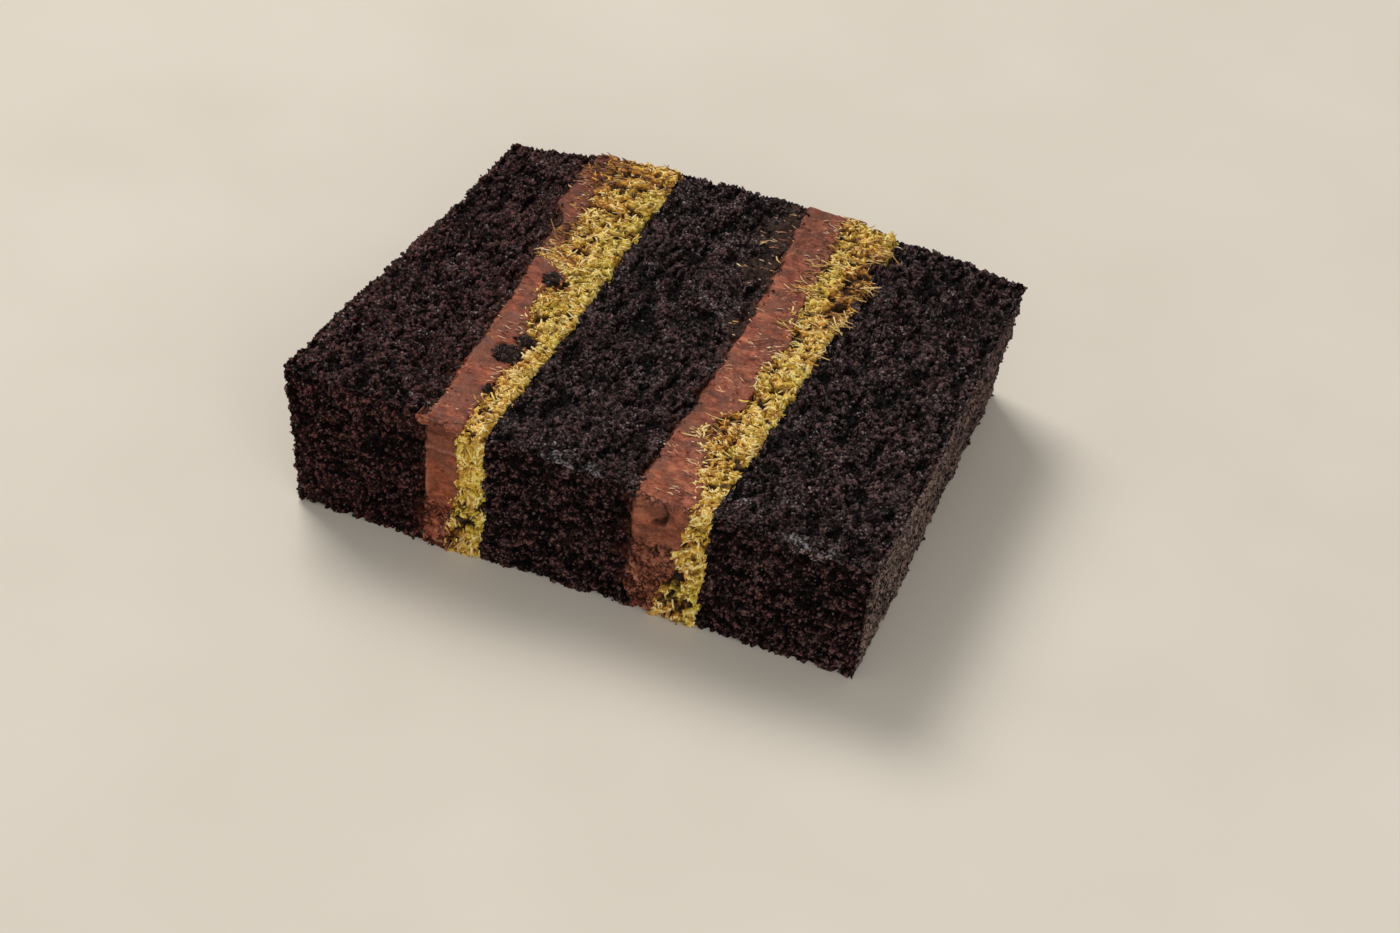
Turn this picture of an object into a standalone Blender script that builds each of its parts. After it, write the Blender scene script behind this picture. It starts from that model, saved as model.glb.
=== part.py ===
"""Pistachio kunafa cake slice, lying on one of its cut faces.

Three dark chocolate cake layers stand on edge. Between them run two fillings, each a band of
chocolate ganache beside a band of kunafa, which is chopped shredded pastry in pistachio paste.
X runs across the layers, Y from the front cut face to the back one and Z up through the slice.
The origin is under the middle of the slice, on the surface that it lies on.

Sizes are millimetres, measured from the slice's front left bottom corner, and become metres in
add_object. A place inside the slice is given by two shares from 0 to 1: depth, from the front
face to the back, and height, from the bottom face to the top.
"""
import math
import random
from collections import namedtuple

import bmesh
import bpy
from mathutils import Vector, noise

MM = 0.001

# The whole slice
WIDTH = 125.0
DEPTH = 95.0
THICKNESS_LEFT = 34.9
THICKNESS_RIGHT = 29.3
MIDDLE_X = 60.8
MIDDLE_Y = 48.7
FRONT_FOOT = -0.7
FRONT_LEAN = 0.5
BACK_UNDERCUT = 1.0
BACK_EDGE = (89.1, 95.9, 99.6, 100.5, 99.4, 97.4)
EDGE_RADIUS = 2.0
BACK_CORNER_RADIUS = 5.0
GAP = 0.3

# A wall or boundary between two layers. top is where it crosses the top face, from front to back
# in five even steps. front is where it crosses the front face, from the bottom up to three
# quarters of the height. back_foot is where it ends, at the bottom of the back face. The walls,
# like the sizes above, reach out to the tips of the crumbs.
Boundary = namedtuple("Boundary", "top front back_foot")
BOUNDARIES = (
    Boundary((-2.6, -1.5, 0.0, 1.7, 2.8, 3.5), (-0.9, -1.3, -1.8, -2.2), 4.5),
    Boundary((29.3, 29.2, 28.3, 26.4, 23.0, 21.8), (28.3, 29.3, 29.6, 29.8), 22.5),
    Boundary((37.0, 36.6, 33.4, 29.3, 27.8, 25.8), (33.5, 34.2, 35.6, 36.3), 28.0),
    Boundary((42.8, 43.1, 43.3, 42.7, 41.7, 41.3), (40.4, 41.5, 42.0, 41.9), 41.0),
    Boundary((74.4, 74.2, 74.0, 73.0, 71.5, 68.9), (73.0, 72.4, 73.6, 74.3), 69.5),
    Boundary((85.8, 80.6, 82.0, 80.6, 78.8, 78.0), (77.4, 80.2, 82.2, 83.6), 77.0),
    Boundary((89.9, 89.9, 90.0, 89.6, 89.1, 89.4), (87.2, 87.8, 88.5, 89.1), 88.5),
    Boundary((123.9, 123.9, 123.1, 121.9, 121.0, 120.2), (121.3, 122.0, 122.6, 123.3), 115.2),
)
BULGE_REACH = 18.0

# The relief on the faces that show, as depths below the smooth face, with the size of its grain.
# The fillings lie a little deeper than the cake at the back.
RIM_DEPTH = (0.15, 0.55)
RIM_GRAIN = 6.0
CRUMB_DEPTH = (0.1, 1.5)
CRUMB_GRAIN = 4.2
GANACHE_DEPTH = (0.4, 0.8)
GANACHE_GRAIN = 7.0
KUNAFA_DEPTH = (-0.7, 0.25)
KUNAFA_GRAIN = (3.0, 1.3, 1.3)
CRUST_DEPTH = (0.0, 1.3)
CRUST_GRAIN = (4.0, 18.0, 3.2)
BACK_HOLLOW = 1.5
GRAIN_CONTRAST = 0.75
JITTER_SHARE = 0.45

# The lip and the groove under it, at the top of the front of the first ganache band
LIP_HEIGHT = 0.94
LIP_PROUD = 0.7
GROOVE_HEIGHT = 0.87
GROOVE_DEPTH = 0.9

# The lower half of the front of the second ganache band is cracked, with a dent above it
CRACKED_BELOW = 0.5
CRACK_DEPTH = 1.0
DENT_X = 79.0
DENT_HEIGHT = 0.86
DENT_RADIUS = 3.0
DENT_DEPTH = 1.0

# The pastry strands that lie on the kunafa, and how far they may reach past the band on each face
STRAND_THICKNESS = 0.65
STRAND_LENGTH = (3.5, 7.5)
STRANDS_ON_TOP = 58
STRANDS_ON_END = 14
TOP_SCATTER = math.radians(38)
END_SCATTER = math.radians(65)
STRAND_REACH = {"top": 3.0, "front": 0.9, "back": -0.8}
STRAND_ROOT_DEPTH = 0.8
STRAND_LIFT = (0.7, 1.1)
TIP_LIFT = 0.4
ROOT_MARGIN = 1.2
KNEE_MARGIN = 0.3
KNEE_SHARE = 0.4
EDGE_MARGIN = 3.0
SHARE_LIMITS = (0.04, 0.96)
STRAND_SPREAD = (0.2, 0.8)
STRAND_SEED = 100

# How finely the faces are divided
DEPTH_STEPS = 34
HEIGHT_SHARES = (0.0, 0.09, 0.19, 0.29, 0.39, 0.49, 0.59, 0.69, 0.79, 0.87, 0.94, 1.0)
CELL = 2.5
SPINE_STEPS = 8
SPINE_MARGIN = 0.06
SPINE_HEIGHT = 0.5

# Each layer's name, its left boundary's place in the list and its kind
LAYERS = (
    ("cake_layer_1", 0, "cake"),
    ("ganache_1", 1, "ganache"),
    ("kunafa_1", 2, "kunafa"),
    ("cake_layer_2", 3, "cake"),
    ("ganache_2", 4, "ganache"),
    ("kunafa_2", 5, "kunafa"),
    ("cake_layer_3", 6, "cake"),
)
# Each kind's colour, roughness and metallic value
FINISHES = {
    "cake": ((0.023, 0.012, 0.010), 0.85, 0.0),
    "ganache": ((0.205, 0.069, 0.042), 0.55, 0.0),
    "kunafa": ((0.43, 0.33, 0.065), 0.60, 0.0),
}


def clear_scene():
    for thing in list(bpy.data.objects):
        bpy.data.objects.remove(thing, do_unlink=True)


def make_material(kind):
    """A plain finish for one kind of layer."""
    colour, roughness, metallic = FINISHES[kind]
    material = bpy.data.materials.new(kind)
    material.use_nodes = True
    shader = material.node_tree.nodes["Principled BSDF"]
    shader.inputs["Base Color"].default_value = (*colour, 1.0)
    shader.inputs["Roughness"].default_value = roughness
    shader.inputs["Metallic"].default_value = metallic
    material.diffuse_color = (*colour, 1.0)
    return material


def mix(a, b, share):
    return a + (b - a) * share


def keep_between(value, low, high):
    return min(max(value, low), high)


def along(values, share):
    """Smooth curve through evenly spaced values, read at a share of its length."""
    spans = len(values) - 1
    place = keep_between(share, 0.0, 1.0) * spans
    i = min(int(place), spans - 1)
    t = place - i
    before = values[max(i - 1, 0)]
    start = values[i]
    end = values[i + 1]
    after = values[min(i + 2, spans)]
    slope = (end - before) / 2
    next_slope = (after - start) / 2
    curve = 2 * (start - end) + slope + next_slope
    return start + slope * t + (3 * (end - start) - 2 * slope - next_slope) * t**2 + curve * t**3


def boundary_x(boundary, depth, height):
    """Where a boundary runs. Its front profile eases into a straight wall further back."""
    foot = mix(boundary.front[0], boundary.back_foot, depth)
    straight = mix(foot, along(boundary.top, depth), height)
    profile = along(boundary.front + boundary.top[:1], height)
    bulge = profile - mix(boundary.front[0], boundary.top[0], height)
    return straight + bulge * math.exp(-depth * DEPTH / BULGE_REACH)


def front_y(height):
    return FRONT_FOOT - FRONT_LEAN * height


def back_y(x, height):
    return along(BACK_EDGE, x / WIDTH) - BACK_UNDERCUT * (1 - height)


def top_z(x):
    return mix(THICKNESS_LEFT, THICKNESS_RIGHT, x / WIDTH)


def smooth_point(left, right, across, depth, height):
    """A point of the slice before its edges are rounded and its relief is cut."""
    x = mix(boundary_x(left, depth, height), boundary_x(right, depth, height), across)
    y = mix(front_y(height), back_y(x, height), depth)
    return Vector((x, y, height * top_z(x)))


def round_off(insets, radius):
    """How far faces that meet move in, from how far a point lies inside each of them."""
    reach = [max(0.0, radius - inset) for inset in insets]
    length = math.hypot(*reach)
    if length <= radius:
        return [0.0 for _ in insets]
    return [r * (1 - radius / length) for r in reach]


def rounded(point, depth, height):
    """Rounds the slice's outer edges. Its bottom edges stay sharp."""
    left = point.x - boundary_x(BOUNDARIES[0], depth, height)
    right = boundary_x(BOUNDARIES[-1], depth, height) - point.x
    front = point.y - front_y(height)
    back = back_y(point.x, height) - point.y
    top = top_z(point.x) * (1 - height)
    side, side_way = (left, 1) if left < right else (right, -1)
    end, end_way = (front, 1) if front < back else (back, -1)
    dx, dy, dz = round_off((side, end, top), EDGE_RADIUS)
    if end_way < 0:
        corner = round_off((side, end), BACK_CORNER_RADIUS)
        dx = max(dx, corner[0])
        dy = max(dy, corner[1])
    return point + Vector((side_way * dx, end_way * dy, -dz))


def grain(point, sizes):
    """Smooth noise from 0 to 1, with grains of the given sizes along X, Y and Z."""
    scaled = Vector((point.x / sizes[0], point.y / sizes[1], point.z / sizes[2]))
    return keep_between(0.5 + GRAIN_CONTRAST * noise.noise(scaled), 0.0, 1.0)


def even_grain(point, size):
    return grain(point, (size, size, size))


def rim_depth(point):
    """Relief that two layers share where they meet."""
    return mix(*RIM_DEPTH, even_grain(point, RIM_GRAIN))


def cake_depth(point, side, jitter):
    """Crumb: lumps with torn hollows between them. The baked side has long flakes."""
    if side == "wall":
        return mix(*CRUST_DEPTH, mix(grain(point, CRUST_GRAIN), jitter, JITTER_SHARE))
    return mix(*CRUMB_DEPTH, mix(even_grain(point, CRUMB_GRAIN), jitter, JITTER_SHARE))


def ganache_depth(point, side, height, first):
    """Smeared smooth, except for the marks on the front face."""
    depth = mix(*GANACHE_DEPTH, even_grain(point, GANACHE_GRAIN))
    if side == "back":
        return depth + BACK_HOLLOW
    if side != "front":
        return depth
    if first:
        lip = LIP_PROUD if height >= LIP_HEIGHT else 0.0
        groove = GROOVE_DEPTH if height == GROOVE_HEIGHT else 0.0
        return depth - lip + groove
    if height < CRACKED_BELOW:
        depth += CRACK_DEPTH * even_grain(point, CELL)
    offset = math.hypot(point.x - DENT_X, point.z - DENT_HEIGHT * top_z(DENT_X))
    return depth + DENT_DEPTH * max(0.0, 1 - offset / DENT_RADIUS)


def kunafa_depth(point, side, jitter):
    """Chopped strands, lying mostly across the band."""
    hollow = BACK_HOLLOW if side == "back" else 0.0
    return hollow + mix(*KUNAFA_DEPTH, mix(grain(point, KUNAFA_GRAIN), jitter, JITTER_SHARE))


def strip(bm, upper, upper_shares, lower, lower_shares):
    """Fills between two rows of vertices that run the same way but are divided differently."""
    i = j = 0
    while i < len(upper) - 1 or j < len(lower) - 1:
        more_upper = i < len(upper) - 1
        upper_is_next = more_upper and upper_shares[i + 1] <= lower_shares[min(j + 1, len(lower) - 1)]
        if j == len(lower) - 1 or upper_is_next:
            bm.faces.new((upper[i], upper[i + 1], lower[j]))
            i += 1
        else:
            bm.faces.new((upper[i], lower[j + 1], lower[j]))
            j += 1


def layer_mesh(index, kind, seed):
    """One layer: fine faces where it shows, and coarse ones against its neighbours."""
    left = BOUNDARIES[index]
    right = BOUNDARIES[index + 1]
    left_wall = index == 0
    right_wall = index == len(LAYERS) - 1
    draw = random.Random(seed)
    steps = max(3, round((right.top[2] - left.top[2]) / CELL))
    depths = [j / DEPTH_STEPS for j in range(DEPTH_STEPS + 1)]
    tall = len(HEIGHT_SHARES) - 1
    bm = bmesh.new()
    found = {}

    def faces_at(i, j, k):
        """The inward directions of the open faces that a lattice point lies on."""
        ways = []
        if k == tall:
            ways.append(Vector((0, 0, -1)))
        if j == 0:
            ways.append(Vector((0, 1, 0)))
        if j == DEPTH_STEPS:
            ways.append(Vector((0, -1, 0)))
        if left_wall and i == 0:
            ways.append(Vector((1, 0, 0)))
        if right_wall and i == steps:
            ways.append(Vector((-1, 0, 0)))
        return ways

    def relief(point, i, j, k, on_rim):
        jitter = draw.random()
        if on_rim:
            return rim_depth(point)
        side = "front" if j == 0 else "back" if j == DEPTH_STEPS else "top"
        if (left_wall and i == 0) or (right_wall and i == steps):
            side = "wall"
        if kind == "cake":
            return cake_depth(point, side, jitter)
        if kind == "ganache":
            return ganache_depth(point, side, HEIGHT_SHARES[k], index == 1)
        return kunafa_depth(point, side, jitter)

    def vertex(i, j, k):
        """The vertex at a lattice point, made when it is first asked for."""
        if (i, j, k) in found:
            return found[i, j, k]
        depth = depths[j]
        height = HEIGHT_SHARES[k]
        point = rounded(smooth_point(left, right, i / steps, depth, height), depth, height)
        on_left_rim = i == 0 and not left_wall
        on_right_rim = i == steps and not right_wall
        inward = sum(faces_at(i, j, k), Vector())
        if inward.length > 0:
            amount = relief(point, i, j, k, on_left_rim or on_right_rim)
            point += inward.normalized() * amount
        point.x += GAP / 2 * (on_left_rim - on_right_rim)
        found[i, j, k] = bm.verts.new(point)
        return found[i, j, k]

    def grid(rows, columns, place):
        """A sheet of quads over two ranges, where place turns a row and column into a vertex."""
        for a in range(rows):
            for b in range(columns):
                bm.faces.new((place(a, b), place(a + 1, b), place(a + 1, b + 1), place(a, b + 1)))

    def hidden_side(i, across, shift):
        """The side against a neighbour, filled from its outline to a line along its middle."""
        shares = [mix(SPINE_MARGIN, 1 - SPINE_MARGIN, s / SPINE_STEPS) for s in range(SPINE_STEPS + 1)]
        spine = []
        for share in shares:
            point = smooth_point(left, right, across, share, SPINE_HEIGHT)
            point.x += shift
            spine.append(bm.verts.new(point))
        top_edge = [vertex(i, j, tall) for j in range(DEPTH_STEPS + 1)]
        bottom_edge = [vertex(i, j, 0) for j in range(DEPTH_STEPS + 1)]
        strip(bm, top_edge, depths, spine, shares)
        strip(bm, bottom_edge, depths, spine, shares)
        for k in range(tall):
            bm.faces.new((vertex(i, 0, k), vertex(i, 0, k + 1), spine[0]))
            bm.faces.new((vertex(i, DEPTH_STEPS, k), vertex(i, DEPTH_STEPS, k + 1), spine[-1]))

    grid(steps, DEPTH_STEPS, lambda a, b: vertex(a, b, tall))
    grid(steps, tall, lambda a, b: vertex(a, 0, b))
    grid(steps, tall, lambda a, b: vertex(a, DEPTH_STEPS, b))
    if left_wall:
        grid(DEPTH_STEPS, tall, lambda a, b: vertex(0, a, b))
    else:
        hidden_side(0, 0.0, GAP / 2)
    if right_wall:
        grid(DEPTH_STEPS, tall, lambda a, b: vertex(steps, a, b))
    else:
        hidden_side(steps, 1.0, -GAP / 2)
    outline = [(i, 0) for i in range(steps)]
    outline += [(steps, j) for j in range(DEPTH_STEPS)]
    outline += [(i, DEPTH_STEPS) for i in range(steps, 0, -1)]
    outline += [(0, j) for j in range(DEPTH_STEPS, 0, -1)]
    bm.faces.new([vertex(i, j, 0) for i, j in outline])
    bmesh.ops.recalc_face_normals(bm, faces=bm.faces)
    bmesh.ops.triangulate(bm, faces=bm.faces)
    return bm


def add_object(name, bm, material):
    """Puts a mesh in the scene, in metres and with the origin under the slice's middle."""
    for vertex in bm.verts:
        vertex.co = (vertex.co - Vector((MIDDLE_X, MIDDLE_Y, 0))) * MM
    mesh = bpy.data.meshes.new(name)
    bm.to_mesh(mesh)
    bm.free()
    mesh.materials.append(material)
    thing = bpy.data.objects.new(name, mesh)
    bpy.context.collection.objects.link(thing)
    return thing


def strand_mesh(points, thickness):
    """A four-sided strand along a few points."""
    bm = bmesh.new()
    rings = []
    run = (points[-1] - points[0]).normalized()
    across = run.orthogonal().normalized()
    other = run.cross(across)
    for point in points:
        corners = (across + other, other - across, -across - other, across - other)
        rings.append([bm.verts.new(point + corner * thickness / 2 / math.sqrt(2)) for corner in corners])
    for ring, following in zip(rings, rings[1:]):
        for a in range(4):
            b = (a + 1) % 4
            bm.faces.new((ring[a], ring[b], following[b], following[a]))
    bm.faces.new(rings[0])
    bm.faces.new(rings[-1])
    bmesh.ops.recalc_face_normals(bm, faces=bm.faces)
    bmesh.ops.triangulate(bm, faces=bm.faces)
    return bm


def lifted(face, x, share, lift):
    """A point above the top, front or back face, where share is its depth or its height."""
    if face == "top":
        return Vector((x, mix(front_y(1), back_y(x, 1), share), top_z(x) + lift))
    if face == "front":
        return Vector((x, front_y(share) - lift, share * top_z(x)))
    return Vector((x, back_y(x, share) - BACK_HOLLOW + lift, share * top_z(x)))


def strand_points(left, right, face, share, draw):
    """A strand with its root sunk in the band, a knee where it comes out, and a raised tip."""
    on_top = face == "top"
    depth = {"top": share, "front": 0.0, "back": 1.0}[face]
    height = 1.0 if on_top else share
    low = boundary_x(left, depth, height)
    high = boundary_x(right, depth, height)
    reach = STRAND_REACH[face]
    scatter = TOP_SCATTER if on_top else END_SCATTER
    length = draw.uniform(*STRAND_LENGTH)
    turn = draw.uniform(-scatter, scatter)
    way = draw.choice((-1, 1))
    tip_x = draw.uniform(low - reach, high + reach)
    root_x = tip_x + way * length * math.cos(turn)
    root_x = keep_between(root_x, low + ROOT_MARGIN, high - ROOT_MARGIN)
    knee_x = keep_between(mix(root_x, tip_x, KNEE_SHARE), low + KNEE_MARGIN, high - KNEE_MARGIN)
    run = length * math.sin(turn) / (DEPTH if on_top else THICKNESS_RIGHT)
    root_share = keep_between(share - run / 2, *SHARE_LIMITS)
    tip_share = keep_between(share + run / 2, *SHARE_LIMITS)
    lift = draw.uniform(*STRAND_LIFT)
    root = lifted(face, root_x, root_share, -STRAND_ROOT_DEPTH)
    knee = lifted(face, knee_x, mix(root_share, tip_share, KNEE_SHARE), lift)
    tip = lifted(face, tip_x, tip_share, lift + draw.uniform(0.0, TIP_LIFT))
    return [root, knee, tip]


def strands_of(name, index, material, seed):
    """The strands of one kunafa band, spread evenly over its faces, in a collection."""
    left = BOUNDARIES[index]
    right = BOUNDARIES[index + 1]
    draw = random.Random(seed)
    collection = bpy.data.collections.new(name + "_strands")
    bpy.context.scene.collection.children.link(collection)
    for face, count in (("top", STRANDS_ON_TOP), ("front", STRANDS_ON_END), ("back", STRANDS_ON_END)):
        margin = EDGE_MARGIN / (DEPTH if face == "top" else THICKNESS_RIGHT)
        for n in range(count):
            share = mix(margin, 1 - margin, (n + draw.uniform(*STRAND_SPREAD)) / count)
            points = strand_points(left, right, face, share, draw)
            strand = add_object(f"{name}_strand", strand_mesh(points, STRAND_THICKNESS), material)
            bpy.context.collection.objects.unlink(strand)
            collection.objects.link(strand)
    return collection


def keep_largest_body(mesh):
    """Drops loose scraps, and the walls of any hollow that fusing has sealed."""
    bm = bmesh.new()
    bm.from_mesh(mesh)
    left_over = set(bm.faces)
    bodies = []
    while left_over:
        queue = [left_over.pop()]
        body = list(queue)
        while queue:
            face = queue.pop()
            near = {other for edge in face.edges for other in edge.link_faces} & left_over
            left_over -= near
            queue.extend(near)
            body.extend(near)
        bodies.append(body)
    largest = max(bodies, key=len)
    spare = [face for body in bodies if body is not largest for face in body]
    bmesh.ops.delete(bm, geom=spare, context="FACES")
    bm.to_mesh(mesh)
    bm.free()


def fuse(core, collection):
    """Joins a collection's pieces to a core and removes them from the scene."""
    union = core.modifiers.new("Strands", "BOOLEAN")
    union.operation = "UNION"
    union.operand_type = "COLLECTION"
    union.collection = collection
    union.solver = "EXACT"
    depsgraph = bpy.context.evaluated_depsgraph_get()
    fused = bpy.data.meshes.new_from_object(core.evaluated_get(depsgraph))
    core.modifiers.clear()
    core.data = fused
    for strand in list(collection.objects):
        bpy.data.objects.remove(strand, do_unlink=True)
    bpy.data.collections.remove(collection)
    keep_largest_body(core.data)


def main():
    clear_scene()
    materials = {kind: make_material(kind) for kind in FINISHES}
    for seed, (name, index, kind) in enumerate(LAYERS):
        layer = add_object(name, layer_mesh(index, kind, seed), materials[kind])
        if kind == "kunafa":
            fuse(layer, strands_of(name, index, materials[kind], seed + STRAND_SEED))


main()
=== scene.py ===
"""Looks of the pistachio kunafa cake slice.

Each layer is a fine mesh over the outline of its solid, with its own relief: crumb on the cake,
smears, pits and cracks on the ganache, and lumps under the kunafa. Chopped pastry strands and
loose crumbs lie on top, one joined mesh for each kind.

Sizes are millimetres from the slice's front left bottom corner, with X across the layers, Y from
the front to the back and Z up. mesh_object turns them into the frame's metres.
"""

import itertools
import math
from collections import namedtuple

import bpy
import numpy as np
from mathutils import Matrix, Vector


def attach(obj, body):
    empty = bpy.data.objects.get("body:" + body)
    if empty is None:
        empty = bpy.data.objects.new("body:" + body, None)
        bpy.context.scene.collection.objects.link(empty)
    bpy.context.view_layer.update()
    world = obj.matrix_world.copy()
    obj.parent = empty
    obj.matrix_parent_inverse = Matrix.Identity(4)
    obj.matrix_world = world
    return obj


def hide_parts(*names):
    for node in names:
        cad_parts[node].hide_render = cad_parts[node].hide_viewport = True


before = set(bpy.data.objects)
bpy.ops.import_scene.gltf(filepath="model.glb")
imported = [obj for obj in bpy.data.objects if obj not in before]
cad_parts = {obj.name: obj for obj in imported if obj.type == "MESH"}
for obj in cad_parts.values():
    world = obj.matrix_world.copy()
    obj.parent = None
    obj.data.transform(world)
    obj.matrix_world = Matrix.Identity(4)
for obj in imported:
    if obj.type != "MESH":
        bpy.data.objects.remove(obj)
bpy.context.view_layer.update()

MM = 0.001

# The outline of the slice, as in the solids
WIDTH = 125.0
DEPTH = 95.0
THICKNESS_LEFT = 34.9
THICKNESS_RIGHT = 29.3
MIDDLE = np.array((60.8, 48.7, 0.0))
FRONT_FOOT = -0.7
FRONT_LEAN = 0.5
BACK_UNDERCUT = 1.0
BACK_EDGE = (89.1, 95.9, 99.6, 100.5, 99.4, 97.4)
EDGE_RADIUS = 2.0
BACK_CORNER_RADIUS = 5.0
BULGE_REACH = 18.0

# Where each wall or boundary crosses the top face, the front face and the foot of the back face
Boundary = namedtuple("Boundary", "top front back_foot")
BOUNDARIES = (
    Boundary((-2.6, -1.5, 0.0, 1.7, 2.8, 3.5), (-0.9, -1.3, -1.8, -2.2), 4.5),
    Boundary((29.3, 29.2, 28.3, 26.4, 23.0, 21.8), (28.3, 29.3, 29.6, 29.8), 22.5),
    Boundary((37.0, 36.6, 33.4, 29.3, 27.8, 25.8), (33.5, 34.2, 35.6, 36.3), 28.0),
    Boundary((42.8, 43.1, 43.3, 42.7, 41.7, 41.3), (40.4, 41.5, 42.0, 41.9), 41.0),
    Boundary((74.4, 74.2, 74.0, 73.0, 71.5, 68.9), (73.0, 72.4, 73.6, 74.3), 69.5),
    Boundary((85.8, 80.6, 82.0, 80.6, 78.8, 78.0), (77.4, 80.2, 82.2, 83.6), 77.0),
    Boundary((89.9, 89.9, 90.0, 89.6, 89.1, 89.4), (87.2, 87.8, 88.5, 89.1), 88.5),
    Boundary((123.9, 123.9, 123.1, 121.9, 121.0, 120.2), (121.3, 122.0, 122.6, 123.3), 115.2),
)

# How finely each kind of layer is divided, and how far it runs past its left and right boundaries
CELL = {"cake": 0.32, "ganache": 0.26, "kunafa": 0.27}
OVERLAP = {"cake": (0.0, 0.45), "ganache": (0.8, 0.6), "kunafa": (0.3, 0.1)}

# How much each inner boundary wanders, at a few sizes of lump
WANDER = {1: 0.7, 2: 1.0, 3: 0.5, 4: 0.7, 5: 1.0, 6: 0.6}
WANDER_GRAINS = ((6.0, 1.0), (2.2, 0.6), (0.9, 0.35))
WANDER_SEED = 50

# Where a boundary moves on the top face: its place from the front, its half length and how far
Push = namedtuple("Push", "place reach amount")
PUSHES = {
    1: (Push(7, 6, 1.1), Push(68, 4.5, 1.9), Push(75, 2.5, -0.8), Push(95, 4, 1.4)),
    2: (
        Push(26, 3.5, 2.2), Push(40, 4, -1.2), Push(50, 2.8, 3.2),
        Push(57, 2, -1.4), Push(66, 4, -1.2), Push(84, 5, -2.2),
    ),
    3: (Push(50, 30, -0.5),),
    5: (Push(22, 5, -2.0), Push(31, 2.5, 1.6), Push(52, 5, 1.0), Push(88, 6, -0.6)),
    6: (Push(67, 2.5, 1.2), Push(77, 2.5, 1.4), Push(82, 1.8, -2.4), Push(90, 4, 0.8)),
}

# The lip of the first ganache runs out over the cake at the front
LIP_HEIGHT = 0.935
LIP_REACH = 0.6
LIP_DEPTH = 1.0


def mix(a, b, share):
    return a + (b - a) * share


def smooth_step(low, high, value):
    share = np.clip((value - low) / (high - low), 0.0, 1.0)
    return share * share * (3 - 2 * share)


def fading(low, high, value):
    """1 up to a low value and 0 from a high one."""
    return 1 - smooth_step(low, high, value)


def lift_between(low, high, value, soft):
    """1 between two values and 0 outside them, with soft ends."""
    rise = smooth_step(low - soft, low + soft, value)
    return rise * fading(high - soft, high + soft, value)


def along(values, share):
    """Smooth curve through evenly spaced values, read at shares of its length."""
    values = np.asarray(values, float)
    spans = len(values) - 1
    place = np.clip(share, 0.0, 1.0) * spans
    i = np.minimum(place.astype(int), spans - 1)
    t = place - i
    start = values[i]
    end = values[i + 1]
    slope = (end - values[np.maximum(i - 1, 0)]) / 2
    next_slope = (values[np.minimum(i + 2, spans)] - start) / 2
    curve = 2 * (start - end) + slope + next_slope
    return start + slope * t + (3 * (end - start) - 2 * slope - next_slope) * t**2 + curve * t**3


def boundary_x(boundary, depth, height):
    """Where a boundary runs, from shares of the slice's depth and height."""
    foot = mix(boundary.front[0], boundary.back_foot, depth)
    straight = mix(foot, along(boundary.top, depth), height)
    profile = along(boundary.front + boundary.top[:1], height)
    bulge = profile - mix(boundary.front[0], boundary.top[0], height)
    return straight + bulge * np.exp(-depth * DEPTH / BULGE_REACH)


def seen_boundary(index, depth, height):
    """Where a boundary shows, with its pushes and its wander. The outer walls keep theirs."""
    x = boundary_x(BOUNDARIES[index], depth, height)
    if index not in WANDER:
        return x
    y = depth * DEPTH
    on_top = smooth_step(0.6, 1.0, height)
    for push in PUSHES.get(index, ()):
        x = x + push.amount * on_top * np.exp(-((y - push.place) / push.reach) ** 2)
    place = np.stack((np.zeros(len(x)), y, height * THICKNESS_LEFT), 1)
    for grain, share in WANDER_GRAINS:
        x = x + WANDER[index] * share * noise(place, grain, WANDER_SEED + index)
    if index == 1:
        on_lip = lift_between(LIP_HEIGHT, 1.1, height, 0.012)
        x = x - LIP_REACH * np.exp(-(y / LIP_DEPTH) ** 2) * on_lip
    return x


def front_y(height):
    return FRONT_FOOT - FRONT_LEAN * height


def back_y(x, height):
    return along(BACK_EDGE, x / WIDTH) - BACK_UNDERCUT * (1 - height)


def top_z(x):
    return mix(THICKNESS_LEFT, THICKNESS_RIGHT, x / WIDTH)


def round_off(insets, radius):
    """How far faces that meet move in, from how far points lie inside each of them."""
    reach = [np.maximum(0.0, radius - inset) for inset in insets]
    length = np.sqrt(sum(r * r for r in reach))
    share = np.where(length > radius, 1 - radius / np.maximum(length, radius), 0.0)
    return [r * share for r in reach]


def rounded(points, depth, height):
    """Rounds the slice's outer edges. Its bottom edges stay sharp."""
    x, y, z = points.T
    left = x - boundary_x(BOUNDARIES[0], depth, height)
    right = boundary_x(BOUNDARIES[-1], depth, height) - x
    front = y - front_y(height)
    back = back_y(x, height) - y
    side = np.minimum(left, right)
    end = np.minimum(front, back)
    dx, dy, dz = round_off((side, end, top_z(x) * (1 - height)), EDGE_RADIUS)
    corner_x, corner_y = round_off((side, end), BACK_CORNER_RADIUS)
    at_back = back < front
    dx = np.where(at_back, np.maximum(dx, corner_x), dx)
    dy = np.where(at_back, np.maximum(dy, corner_y), dy)
    return np.stack((x + np.where(left < right, dx, -dx), y + np.where(at_back, -dy, dy), z - dz), 1)


# Random lattices behind the reliefs
TABLE_SIZE = 4096
TABLE_DRAW = np.random.RandomState(11)
GRADIENTS = TABLE_DRAW.normal(size=(TABLE_SIZE, 3))
GRADIENTS /= np.linalg.norm(GRADIENTS, axis=1)[:, None]
SPOTS = TABLE_DRAW.uniform(size=(TABLE_SIZE, 3))
MARKS = TABLE_DRAW.uniform(size=TABLE_SIZE)
NOISE_GAIN = 1.7

# Odd numbers and shifts that scramble a cell's whole numbers and its seed
AXIS_FACTORS = (73856093, 19349663, 83492791)
SEED_FACTOR = 2654435761
STIRS = ((15, 2246822519), (13, 3266489917))
LAST_SHIFT = 16


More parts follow.
